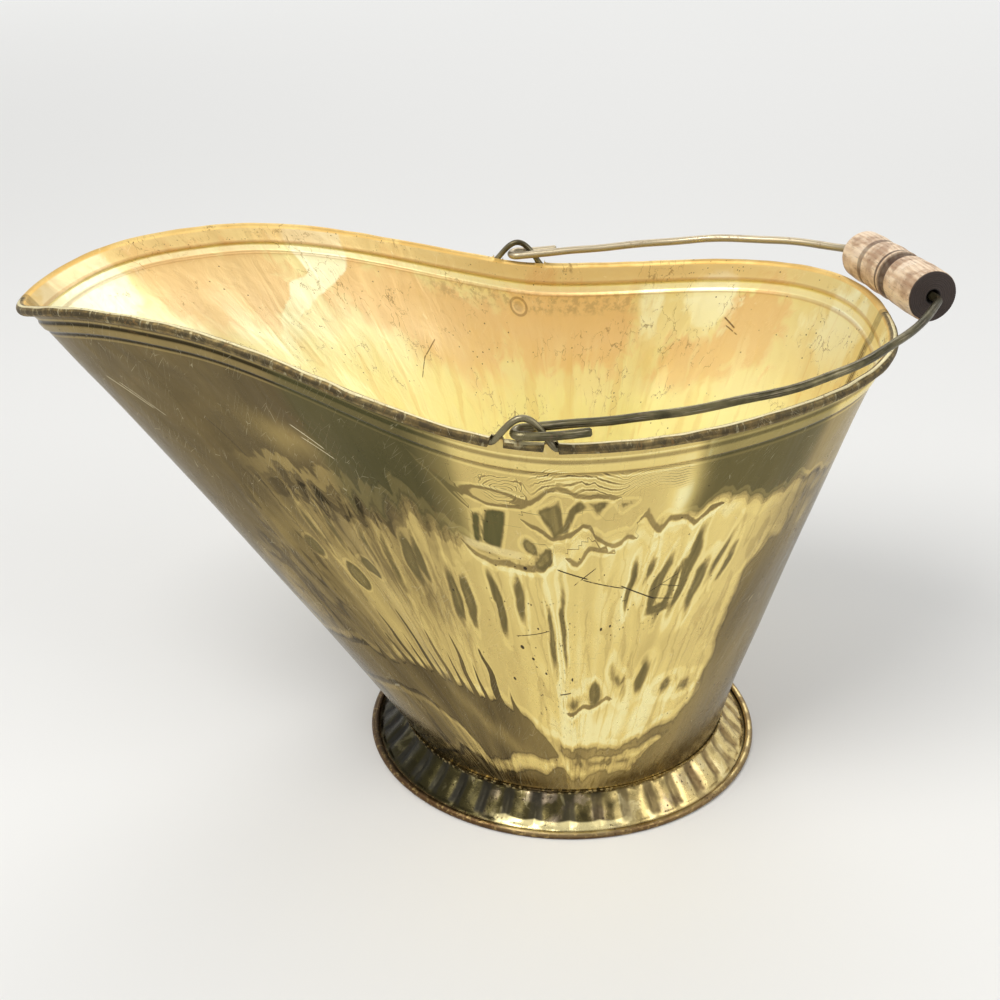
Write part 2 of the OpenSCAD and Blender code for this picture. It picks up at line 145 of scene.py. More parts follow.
class Paint(Nodes):
    """One material under construction, with its Principled shader."""

    def __init__(self, name, metallic=0.0, specular=0.5):
        self.material = bpy.data.materials.new(name)
        self.material.use_nodes = True
        super().__init__(self.material.node_tree)
        self.shader = self.tree.nodes.new("ShaderNodeBsdfPrincipled")
        self.shader.inputs["Metallic"].default_value = metallic
        self.shader.inputs["Specular IOR Level"].default_value = specular
        self.node("OutputMaterial", {}, Flow(self, self.shader.outputs[0]))

    def place(self):
        """Object coordinates: the place on the object in metres."""
        return self.node("TexCoord", {})[3]

    def unwrapped(self):
        """The piece's own UV map, which is in metres too."""
        return self.node("UVMap", {"uv_map": "UVMap"})[0]

    def mark(self, name, vector=False):
        """A named mark of the mesh: one number, or the vector that it is."""
        return self.node("Attribute", {"attribute_name": name})[1 if vector else 2]

    def parts(self, vector):
        return self.node("SeparateXYZ", {}, vector)

    def point(self, x, y, z):
        return self.node("CombineXYZ", {}, x, y, z)[0]

    def noise(self, vector, scale, detail=3, rough=0.5, warp=0):
        return self.node("TexNoise", {}, Vector=vector, Scale=scale, Detail=detail, Roughness=rough,
                         Distortion=warp)[0]

    def cells(self, vector, scale, feature="F1"):
        """Distance to the nearest of scattered points, or to the nearest edge between their cells."""
        return self.node("TexVoronoi", {"feature": feature}, Vector=vector, Scale=scale, Randomness=1)[0]

    def blend(self, share, first, second):
        """Colour mix: first where share is 0, second where it is 1."""
        return self.node("Mix", {"data_type": "RGBA", "clamp_factor": True},
                         share, colour(first), colour(second))[0]

    def coats(self, base, *layers):
        """Colours laid over a base one after another, each (share, colour)."""
        return reduce(lambda under, layer: self.blend(layer[0], under, layer[1]), layers, base)

    def shades(self, value, *stops):
        """A colour that changes with a number, through stops of (place, colour)."""
        made = self.tree.nodes.new("ShaderNodeValToRGB")
        ramp = made.color_ramp
        while len(ramp.elements) < len(stops):
            ramp.elements.new(0.5)
        for element, (at, shade) in zip(ramp.elements, stops):
            element.position = at
            element.color = colour(shade)
        self.join(made.inputs[0], value)
        return Flow(self, made.outputs[0])

    def bump(self, height, distance, strength, under=None):
        return self.node("Bump", {}, Strength=strength, Distance=distance, Height=height, Normal=under)[0]

    def finish(self, base, rough, normal=None, metal=None):
        """Join the shader's own sockets. Gives the material."""
        for key, value in (("Base Color", colour(base)), ("Roughness", rough), ("Normal", normal),
                           ("Metallic", metal)):
            self.join(self.shader.inputs[key], value)
        return self.material


def colour(value):
    """A colour read off as three numbers of 0 to 255, as shaders use it. Anything else stays as it is."""
    if not isinstance(value, tuple) or len(value) != 3:
        return value
    s = np.array(value) / 255
    linear = np.where(s <= 0.04045, s / 12.92, ((s + 0.055) / 1.055) ** 2.4)
    return (*linear.tolist(), 1.0)


# ---------------------------------------------------------------- meshes from arrays

def mesh_piece(name, points, faces, unwrap=None, marks=None, sharp=35.0):
    """A mesh object from an array of points in millimetres and a list of face arrays.

    unwrap is one (u, v) in metres for each point; marks are named values for each point. Edges that bend
    more than sharp degrees stay sharp and the rest is smooth."""
    mesh = bpy.data.meshes.new(name)
    mesh.from_pydata((points * MM).tolist(), [], [f for part in faces for f in part.tolist()])
    mesh.update()
    corner = np.empty(len(mesh.loops), np.int32)
    mesh.loops.foreach_get("vertex_index", corner)
    if unwrap is not None:
        layer = mesh.uv_layers.new(name="UVMap")
        layer.data.foreach_set("uv", unwrap[corner].astype(np.float32).ravel())
    for key, value in (marks or {}).items():
        vector = value.ndim == 2
        layer = mesh.attributes.new(key, "FLOAT_VECTOR" if vector else "FLOAT", "POINT")
        layer.data.foreach_set("vector" if vector else "value", value.astype(np.float32).ravel())
    mesh.shade_smooth()
    mesh.set_sharp_from_angle(angle=np.radians(sharp))
    piece = bpy.data.objects.new(name, mesh)
    bpy.context.scene.collection.objects.link(piece)
    return piece


def grid_faces(rows, columns, around=True, along=False, flip=False):
    """Quads over a grid of points: columns close on themselves if around, rows if along."""
    i = np.arange(rows if along else rows - 1)[:, None]
    j = np.arange(columns if around else columns - 1)[None, :]
    a = i * columns + j
    b = i * columns + (j + 1) % columns
    c = (i + 1) % rows * columns + (j + 1) % columns
    d = (i + 1) % rows * columns + j
    quads = np.stack([a, b, c, d], -1).reshape(-1, 4)
    return quads[:, ::-1] if flip else quads


def strip_cap(start, columns, flip=False):
    """Quads that close the end of a folded sheet, from its outer line to its inner line."""
    j = np.arange(columns // 2 - 1)
    quads = np.stack([start + j, start + j + 1, start + columns - 2 - j, start + columns - 1 - j], -1)
    return quads[:, ::-1] if flip else quads


def fan_cap(start, columns, tip, flip=False):
    """Triangles from a ring to one point at its middle."""
    j = np.arange(columns)
    fans = np.stack([start + j, start + (j + 1) % columns, np.full(columns, tip)], -1)
    return fans[:, ::-1] if flip else fans


def unit(v):
    return v / np.linalg.norm(v, axis=-1, keepdims=True)


def smooth(t):
    t = np.clip(t, 0.0, 1.0)
    return t * t * (3.0 - 2.0 * t)


def lengths(points):
    """Distance along a path to each of its points."""
    return np.concatenate([[0.0], np.cumsum(np.linalg.norm(np.diff(points, axis=0), axis=1))])


def hermite(t, p0, p1, m0, m1):
    """Cubic from p0 to p1 with end slopes m0 and m1, and its rate."""
    value = (2 * t**3 - 3 * t**2 + 1) * p0 + (t**3 - 2 * t**2 + t) * m0 + (3 * t**2 - 2 * t**3) * p1 \
        + (t**3 - t**2) * m1
    rate = (6 * t**2 - 6 * t) * (p0 - p1) + (3 * t**2 - 4 * t + 1) * m0 + (3 * t**2 - 2 * t) * m1
    return value, rate


def ripple(a, b, seed, waves=9, low=0.5, high=2.0):
    """A gentle random field over (a, b): a sum of waves with seeded directions, lengths and phases."""
    rng = np.random.default_rng(seed)
    out = np.zeros(np.broadcast(a, b).shape)
    for _ in range(waves):
        turn, rate, phase = rng.uniform(0, 2 * np.pi), rng.uniform(low, high), rng.uniform(0, 2 * np.pi)
        out = out + np.sin(rate * (a * np.cos(turn) + b * np.sin(turn)) + phase)
    return out / np.sqrt(waves)


# ---------------------------------------------------------------- the rim and the body's sheet

REAR, LIP, WIDE = 157.0, 275.0, 35.0
MOUTH, SPOUT, REAR_POWER, NOSE = 121.5, 88.2, 2.55, 34.5
DIP_AT, CREST_AT = -6.0, -195.0
REAR_Z, DIP_Z, CREST_Z, LIP_Z = 245.5, 228.5, 265.5, 250.5
REAR_SLOPE, LIP_SLOPE, RIM_SAMPLES = 0.08, 0.56, 6001
BOTTOM, SHEET, HOLLOW = 89.0, 0.9, 2.4
RIM_WIRE, BAIL_WIRE = 1.6, 2.1
ROLL = RIM_WIRE + 0.1 + SHEET / 2
ROLL_OPEN, ROLL_TURN = 4.0, 285.0
EAR_AT, EAR_HALF, EAR_RISE = 26.0, 14.5, 13.5
FOOT_HIGH, TUCK_Z = 18.6, 11.2
SEAM_FOLD, SEAM_PROUD = 3.5, 1.2
BAND_TOP, BAND_FOOT, BAND_PROUD = 9.0, 13.9, 0.7


def rim_height(x):
    """Height of the bead and its slope: cubic pieces through the rear, the dip, the crest and the lip."""
    back, middle, front = REAR - DIP_AT, DIP_AT - CREST_AT, CREST_AT + LIP
    rear = hermite((x - DIP_AT) / back, DIP_Z, REAR_Z, 0.0, REAR_SLOPE * back)
    side = hermite((x - CREST_AT) / middle, CREST_Z, DIP_Z, 0.0, 0.0)
    nose = hermite((x + LIP) / front, LIP_Z, CREST_Z, LIP_SLOPE * front, 0.0)
    z = np.where(x >= DIP_AT, rear[0], np.where(x >= CREST_AT, side[0], nose[0]))
    slope = np.where(x >= DIP_AT, rear[1] / back, np.where(x >= CREST_AT, side[1] / middle, nose[1] / front))
    return z, slope


def rim_table():
    """The bead's middle line on the far side, from the rear seam to the lip, finely sampled.

    Rear: a superellipse of power 2.55. Front: width = mouth * sqrt(1 - u) * (1 + u/2 + a u^2 + b u^3),
    with u from the widest place to the lip. Gives x, y, z, the direction faced in plan, slope and length."""
    rear_span, lip_span = REAR + WIDE, LIP - WIDE
    nose = np.sqrt(2 * lip_span * NOSE) / MOUTH
    midway = SPOUT / (MOUTH * np.sqrt(0.5))
    a = 8 * (midway - 1.25) - (nose - 1.5)
    b = (nose - 1.5) - a
    t = np.linspace(0, np.pi / 2, RIM_SAMPLES)
    u, v = np.cos(t) ** (2 / REAR_POWER), np.sin(t) ** (2 / REAR_POWER)
    rear = (rear_span * u - WIDE, MOUTH * v,
            np.arctan2(v ** (REAR_POWER - 1) / MOUTH, u ** (REAR_POWER - 1) / rear_span))
    s = np.linspace(1, 0, RIM_SAMPLES)[1:]
    w = 1 - s * s
    fill = 1 + w / 2 + a * w**2 + b * w**3
    rate = 0.5 + 2 * a * w + 3 * b * w**2
    front = (-WIDE - lip_span * w, MOUTH * s * fill, np.arctan2(lip_span * s, MOUTH * (s * s * rate - fill / 2)))
    x, y, f = np.concatenate([rear, front], 1)
    z, slope = rim_height(x)
    return x, y, z, f, slope, lengths(np.stack([x, y, z], -1))


TABLE = rim_table()
RIM_LENGTH = TABLE[5][-1]


def rim_at(run):
    """The bead at these lengths from the rear seam: middle, tangent, direction faced and its angle."""
    x, y, z, f, slope = (np.interp(run, TABLE[5], column) for column in TABLE[:5])
    tangent = unit(np.stack([-np.sin(f), np.cos(f), -slope * np.sin(f)], -1))
    return np.stack([x, y, z], -1), tangent, np.stack([np.cos(f), np.sin(f), 0 * f], -1), f


def run_at_x(x):
    return np.interp(-np.asarray(x, float), -TABLE[0], TABLE[5])


EAR_RUN = float(run_at_x(-EAR_AT))


def sheet_runs(step):
    """Stations along the bead: close together at the seams and beside the ears, even elsewhere."""
    seam = np.array([0, 0.8, 1.6, 2.4, 2.9, 3.2, 3.5, 3.8, 4.1, 4.6, 5.3, 6.2, 7.4])
    ears = np.concatenate([run_at_x(-EAR_AT + s * np.linspace(7.0, 17.6, 24)) for s in (-1, 1)])
    even = np.arange(8.5, RIM_LENGTH - 8.5, step)
    runs = np.unique(np.round(np.concatenate([seam, ears, even, RIM_LENGTH - seam]), 3))
    return runs[np.concatenate([[True], np.diff(runs) > 0.12])]


# Dents beaten into the sheet by use, each (place along the rim, place below it, width, depth outwards)
HAND_DENTS = [(318, 62, 13, -0.7), (236, 118, 20, -0.6), (398, 96, 16, 0.5), (120, 150, 18, -0.5),
              (150, 66, 12, 0.45), (300, 178, 15, 0.45), (455, 72, 14, -0.5)]
STAMP_RUN, STAMP_DROP = EAR_RUN + 3.0, 23.0


def dents(run, drop, side):
    """How far the sheet stands out of its true shape: soft upright waves, dents from use and the pressed ring.

    The waves are longer down the wall than across it and die out at the bead and at the bottom."""
    fade = smooth((drop - 17.0) / 30.0) * smooth((232.0 - drop) / 40.0)
    ends = smooth(run / 14.0) * smooth((RIM_LENGTH - run) / 14.0)
    a = run + 1700.0 * (side > 0)
    upright = ripple(a, drop * 0.25, 11, 10, 0.11, 0.30) * 0.16 + ripple(a, drop * 0.6, 12, 9, 0.05, 0.13) * 0.30
    out = (upright + ripple(a, drop, 13, 8, 0.02, 0.05) * 0.35) * fade * ends
    for at, low, wide, deep in HAND_DENTS:
        out = out + deep * np.exp(-((run - at - 7.0 * side) ** 2 + (drop - low) ** 2) / wide**2)
    ring = np.hypot(run - STAMP_RUN, drop - STAMP_DROP)
    return out + side * (0.35 * np.exp(-((ring / 4.2) ** 4)) - 0.2 * np.exp(-(((ring - 5.4) / 1.1) ** 2)))


# Dark ovals of painted reflection outside, each (place along the rim, place below it, half width, half height, lean)
# in millimetres
OVALS = [(448, 140, 6, 7, 0.1), (421, 148, 8, 8, 0.2), (398, 134, 8, 5, 0.3), (345, 103, 4.5, 17, 0.15),
         (336, 98, 2.6, 14, 0.1), (366, 116, 2.6, 16, 0.1), (316, 107, 4.4, 17, 0.1), (305, 108, 3.6, 15, 0.1),
         (284, 102, 3.4, 18, 0), (268, 93, 2.6, 12, 0), (249, 115, 3.0, 22, 0), (238, 111, 2.0, 23, 0),
         (431, 122, 2.4, 14, 0.1), (384, 108, 2.4, 14, 0.1), (411, 112, 2.2, 13, 0.1), (256, 61, 5, 5.5, 0),
         (190, 84, 2.4, 12, 0.1), (180, 76, 2.2, 10, 0.1), (170, 84, 2.6, 14, 0.2), (161, 92, 2.2, 14, 0.2),
         (153, 84, 2.6, 20, 0.1), (143, 96, 3.2, 17, 0.05), (134, 82, 2.6, 14, 0.15), (126, 90, 2.2, 12, 0.1),
         (165, 103, 7, 3, 0.5)]
# Fainter ovals of painted reflection, each the same five numbers
FAINT_OVALS = [(230, 156, 9, 4, 0), (205, 149, 8, 7, -0.5), (182, 147, 6, 12, -0.5), (161, 146, 5, 9, 0.1),
               (137, 161, 11, 5, 0), (118, 167, 8, 5, 0), (216, 154, 9, 3.4, -0.3)]
# Dark shapes of painted reflection outside with corners, each a closed line of (place along the rim, place below it)
DARK_SHAPES = [[(250, 38), (238, 31), (235, 48), (241, 53), (244, 46)],
               [(236, 49), (231, 36), (226, 31), (222, 35), (229, 38), (233, 49)],
               [(222, 32), (210, 32), (216, 40)], [(207, 32), (196, 33), (203, 38)],
               [(243, 59), (250, 61), (253, 66), (258, 71), (250, 73), (243, 68)],
               [(267, 41), (278, 43), (283, 63), (274, 64)], [(281, 45), (286, 47), (288, 64), (286, 64)]]
# Fine dark curves of painted reflection outside, each (slimness, places). The first keeps its place, the others follow
# the ripple.
FINE_CURVES = [(0.42, [(241, 57), (243, 66), (251, 72), (262, 73), (270, 72), (281, 74.5), (291, 72), (298, 66)]),
               (0.7, [(285, 60), (289, 38), (301, 27), (313, 19)]), (0.7, [(286, 50), (297, 31), (309, 21)]),
               (0.5, [(192, 56), (200, 53), (207, 58), (215, 54), (218, 48), (224, 46), (232, 52), (241, 53),
                      (249, 46), (261, 43)]),
               (0.6, [(206, 62), (214, 61), (220, 60), (229, 66), (238, 64)]),
               (0.4, [(144, 49), (151, 49), (157, 54), (165, 47), (175, 46), (179, 51), (189, 43), (194, 47)]),
               (0.6, [(203, 29), (221, 28), (237, 26), (247, 30), (264, 34)]),
               (0.6, [(184, 158), (192, 154), (204, 157), (215, 159), (229, 160.5), (241, 161)])]
# Painted reflection outside, its lightness (0 black, 1 pale gold) at places along the rim: over the scalloped edge,
# under it, at the foot
REFLECTION_OVER = ([0, 60, 90, 106, 158, 172, 288, 312, 420, 548],
               [0.46, 0.46, 0.42, 0.22, 0.24, 0.70, 0.66, 0.10, 0.17, 0.20])
REFLECTION_UNDER = ([0, 50, 88, 104, 122, 250, 300, 340, 400, 470, 548],
                [0.30, 0.33, 0.40, 0.58, 0.82, 0.84, 0.66, 0.42, 0.32, 0.26, 0.24])
REFLECTION_FOOT = ([0, 95, 125, 200, 254, 262, 274, 330, 420, 548],
               [0.24, 0.30, 0.36, 0.44, 0.44, 0.30, 0.26, 0.22, 0.20, 0.26])
# Borders of the painted reflections outside, each as places along the rim and how far below it the line lies there
SCALLOPS = ([0, 60, 100, 125, 143, 171, 183, 215, 225, 240, 262, 292, 307, 333, 356, 392, 434, 456, 500, 548],
            [64, 60, 54, 52, 48, 47, 51, 55, 53, 65, 72, 66, 68, 70, 84, 92, 96, 100, 150, 205])
SCALLOP_RISE = ([0, 255, 285, 330, 470, 548], [6.0, 6.5, 3.0, 14.0, 7.0, 2.0])
FOOT_EDGE = ([0, 90, 112, 143, 189, 245, 258, 264, 270, 289, 304, 326, 356, 396, 471, 548],
             [178, 182, 190, 195, 190, 193, 200, 196, 184, 174, 173, 179, 189, 202, 226, 220])
FOOT_EDGE_END = ([258, 262, 283, 300, 330, 380], [188, 197, 200, 206, 224, 250])
LOW_ARC = ([100, 105, 115, 134, 163, 202, 258], [176, 184, 192, 196, 196, 190, 189])
SECOND_ARC = ([140, 153, 185, 229], [210, 206, 200, 196])
FOOT_STRIP = ([90, 132, 182, 265, 302, 383, 548], [224, 218, 206, 205, 218, 259, 320])
SPIKES = ([284, 300, 460, 490], [0, 46, 56, 0])
# The crescent of painted reflection at the rear as places below the rim and how far along it the crescent starts there
CRESCENT = ([90, 102, 120, 136, 158, 177, 186, 196, 205, 215, 240],
            [98, 106, 107, 106, 102, 103, 108, 117, 129, 140, 165])
# Pits in the near side, each (place along the rim, place below it, radius) in millimetres
SPOTS = [(274, 125, 1.5), (268, 131, 1.1), (261, 139, 1.0), (261, 110, 0.8), (286, 150, 1.2), (207, 108, 1.2),
         (200, 107, 1.0), (231, 139, 1.3), (316, 106, 0.9), (262, 73, 1.2)]


def shape_gap(run, drop, corners):
    """Millimetres from each point to a closed shape, below 0 inside it."""
    near, inside = np.full(run.shape, 1e9), np.zeros(run.shape, bool)
    for (ax, ay), (bx, by) in zip(corners, corners[1:] + corners[:1]):
        along, down = bx - ax, by - ay
        t = np.clip(((run - ax) * along + (drop - ay) * down) / (along**2 + down**2), 0, 1)
        near = np.minimum(near, np.hypot(run - ax - t * along, drop - ay - t * down))
        inside = inside ^ (((ay > drop) != (by > drop)) & (run < along * (drop - ay) / (down + 1e-9) + ax))
    return np.where(inside, -near, near)


def oval_gap(run, drop, ovals):
    """Millimetres from each point to the nearest oval, below 0 inside one."""
    at, low, wide, deep, lean = np.array(ovals, float).T
    down = drop[..., None] - low
    across = run[..., None] - at - lean * down
    return ((np.hypot(across / wide, down / deep) - 1) * np.minimum(wide, deep)).min(-1)


def curve_gap(run, drop, slim, places):
    """Signed distance below a curve through (run, drop) places. It grows steeply near the ends, so a line tapers."""
    at, low = np.transpose(places)
    gap = (drop - np.interp(run, at, low)) * slim
    within = np.minimum(run - at[0], at[-1] - run)
    return np.where(within < 0, 20.0, gap / (0.15 + 0.85 * smooth(within / 5.0)))


def bells(run, drop, *humps):
    """A sum of round humps, each (height, place along the rim, place below it, half width, half height)."""
    return sum(tall * np.exp(-((run - at) / wide) ** 2 - ((drop - low) / deep) ** 2)
               for tall, at, low, wide, deep in humps)


def reflection_levels(run, drop, r, d, seed):
    """The painted reflection's lightness over the scallops, under them and at the foot, with soft patches of painted
    highlight and shade on top of the tables.
    """
    plain = np.interp(run, *REFLECTION_OVER)
    above = plain + bells(r, d, (0.40, 169, 32, 9, 15), (0.24, 398, 56, 24, 10), (-0.06, 350, 50, 34, 20),
                          (0.10, 120, 60, 30, 9)) \
        + 0.30 * smooth((18 - drop) / 5) * smooth((300 - run) / 30) * (plain < 0.5)
    below = np.interp(run, *REFLECTION_UNDER) + bells(
        r, d, (0.12, 215, 170, 45, 14), (-0.12, 150, 125, 30, 20), (0.14, 190, 176, 70, 9), (0.10, 150, 118, 26, 12)) \
        + 0.26 * smooth((drop - 115) / 40) * smooth((run - 290) / 40) * smooth((470 - run) / 50) \
        + 0.045 * ripple(r, d * 0.05, seed + 2, 9, 0.15, 0.55)
    low = np.interp(run, *REFLECTION_FOOT) + 0.05 * ripple(run, drop * 0.4, seed + 3, 9, 0.06, 0.2) \
        + bells(r, d, (0.16, 330, 204, 60, 7))
    return np.stack([above, below, low], -1)


def border_gaps(run, drop, r, d, seed):
    """Millimetres past the scalloped edge, past the low edge, and to the dark ovals and shapes, all borders of painted
    reflection.
    """
    beat = np.sin(np.pi * r / 13.0 + 0.7 * ripple(run, 0 * drop, seed + 4, 6, 0.05, 0.2))
    tall = np.interp(r, *SCALLOP_RISE) * (0.75 + 0.25 * np.sin(r * 0.137 + 1.0))
    edge_gap = (d - np.interp(r, *SCALLOPS) + tall * np.abs(beat) ** 0.7) * np.interp(run, [270, 320], [0.8, 0.22])

    spread = np.abs((r + 0.10 * (d - 150)) % 15.5 - 7.75)
    spike = np.interp(r, *SPIKES) * (0.7 + 0.3 * np.sin(r * 0.21)) * np.clip(1 - (7.75 - spread) / 3.2, 0, 1)
    low_gap = np.maximum.reduce([
        np.minimum(d - np.interp(r, *FOOT_EDGE) + spike, np.interp(r, *FOOT_EDGE_END) - d),
        np.minimum(np.interp(d, *CRESCENT) - r, d - 84),
        np.minimum(3.2 - np.abs(d - np.interp(r, *LOW_ARC)), (260 - r) * 0.4),
        d - np.interp(r, *FOOT_STRIP),
        np.minimum(1.2 - np.abs(d - np.interp(r, *SECOND_ARC)), 6 - np.abs(r - 184) * 0.14)])
    low_gap = np.where(low_gap > 0, low_gap, low_gap * 0.7)

    dark_gap = np.minimum.reduce([oval_gap(r, d, OVALS), oval_gap(r, d, FAINT_OVALS) * 0.40 + 0.35]
                                 + [shape_gap(run, drop, shape) for shape in DARK_SHAPES])
    return np.clip(np.stack([edge_gap, low_gap, dark_gap], -1), -30, 30)


def fine_lines(run, drop, r, d, seed):
    """Painted reflections: the distance to the nearest fine curve, the phase of the fanned lines under the rim, and
    their share.

    The fanned lines run level, spread out towards the rear, and turn round an eddy beside the ear."""
    cup_reflection = (np.hypot((run - 272) / 15, (drop - 34) / 4.4) - 1) * 4.4
    gaps = np.stack([curve_gap(run, drop, *FINE_CURVES[0]), *(curve_gap(r, d, *curve) for curve in FINE_CURVES[1:]),
                     cup_reflection])
    line_gap = np.take_along_axis(gaps, np.abs(gaps).argmin(0)[None], 0)[0]
    fan = (d - 16) / (0.34 + 0.66 * smooth((r - 166) / 48)) + 6.0 * np.exp(-((r - 216) / 17) ** 2) \
        + 1.8 * np.sin(r / 7.0) + 1.4 * ripple(r, d, seed + 6, 9, 0.15, 0.5)
    share = smooth((r - 168) / 8) * smooth((256 - r) / 12) * smooth((d - 14) / 3) * smooth((31 - d) / 5)
    along, down = r - 267, d - 27
    eddy = np.hypot(along, down * 1.5) + 1.2 * np.arctan2(down, along) + 1.2 * ripple(r, d, seed + 7, 9, 0.3, 0.9)
    turning = smooth((11.5 - np.hypot(along / 1.25, down)) / 2.5)
    return np.stack([np.clip(line_gap, -20, 20), fan + (eddy * 1.3 - fan) * turning,
                     np.maximum(share, turning * 0.8)], -1)


def outside_marks(run, drop, seed):
    """The outer face's painted reflections, light and dark, at each point, from its place on the sheet in millimetres.

    Places in the tables are first shifted by a soft ripple, apart from those that stay sharp."""
    r = run + 1.3 * ripple(run, drop, seed, 9, 0.08, 0.30)
    d = drop + 1.8 * ripple(run, drop * 0.6, seed + 1, 9, 0.08, 0.30)
    return {"reflection_tones": reflection_levels(run, drop, r, d, seed), "borders": border_gaps(run, drop, r, d, seed),
            "lines": fine_lines(run, drop, r, d, seed)}


def inside_marks(run, drop, seed):
    """The inner face's shares of pale yellow, peach and lemon at each point, from its place on the sheet.

    A pale band of painted highlight wanders down the spout, pale patches of painted highlight lie at the lip, behind
    the ear and at the rear, peach lies between them, and lemon grows towards the bottom."""
    r = run + 3.0 * ripple(run, drop, seed, 9, 0.05, 0.25)
    d = drop + 3.0 * ripple(run, drop, seed + 1, 9, 0.05, 0.25)
    river = np.interp(d, [8, 25, 45, 62, 80, 120], [378, 380, 400, 424, 432, 424])
    width = np.interp(d, [8, 30, 50, 120], [17, 14, 8, 7])
    pale = np.exp(-((r - river) / width) ** 4) * smooth((110 - d) / 60) + bells(
        r, d, (1, 516, 14, 30, 26), (1, 133, 22, 20, 20), (0.6, 171, 30, 10, 26), (0.7, 40, 22, 34, 34),
        (0.35, 315, 14, 18, 10))
    peach = bells(r, d, (1, 450, 34, 42, 30), (1, 338, 40, 44, 30), (1, 228, 34, 50, 26), (1, 102, 34, 18, 30),
                  (0.8, 140, 62, 26, 18), (0.5, 290, 80, 20, 30))
    lemon = smooth((d - 48) / 50) + bells(r, d, (0.8, 372, 70, 30, 26))
    return np.clip(np.stack([pale, peach, lemon], -1), 0, 1)


ROLL_STEPS, TUCK_STEPS, WALL_STEPS, STATION_STEP = 25, 5, 74, 1.75
NOTCH_FROM, NOTCH_TO, STUB, TIGHTER = 9.8, 14.2, 2.3, 0.42


def bead_line(runs, p, m, d):
    """The bead's part of each station's line: a turn round the rim wire, opened to a short stub in the notches.

    Under an ear the turn is a little tighter. A faint ripple makes it uneven."""
    beside = np.abs(p[:, 0] + EAR_AT)
    under_ear = smooth((13.0 - beside) / 2.0)
    closed = smooth(np.maximum(np.clip((beside - NOTCH_TO) / 1.8, 0, 1), np.clip((NOTCH_FROM - beside) / 1.2, 0, 1)))
    ends = smooth((np.minimum(runs, RIM_LENGTH - runs) - 0.5) / 1.6)
    turn = np.radians(ROLL_OPEN + (ROLL_TURN - ROLL_OPEN) * closed * (0.25 + 0.75 * ends))
    steps = np.linspace(1, 0, ROLL_STEPS)
    angle = turn[:, None] * steps
    spoke = -np.cos(angle)[..., None] * m[:, None] - np.sin(angle)[..., None] * d[:, None]
    uneven = 0.10 * ripple(runs[:, None], angle * 3.0, 21, 8, 0.15, 0.6) * np.clip(angle, 0, 1)
    radius = (ROLL - TIGHTER * under_ear)[:, None] + uneven
    stub = ((1 - closed) * STUB)[:, None] * steps
    middle = p - m * TIGHTER * under_ear[:, None]
    return middle[:, None] + radius[..., None] * spoke - d[:, None] * stub[..., None], spoke, -radius * angle - stub


def foot_turns(runs, f):
    """The angle round the foot at which each station ends: the way it faces, kept off the folds of the seams."""
    seam = np.degrees(np.arcsin(SEAM_FOLD / BOTTOM))
    between = (180 - 2 * seam) / 180

    def past(length, turned):
        return np.minimum(length / SEAM_FOLD, 1) * seam + turned * smooth((length - SEAM_FOLD) / 3.0) * between
    turned = np.degrees(f)
    return np.radians(np.where(runs < RIM_LENGTH / 2, past(runs, turned), 180 - past(RIM_LENGTH - runs, 180 - turned)))


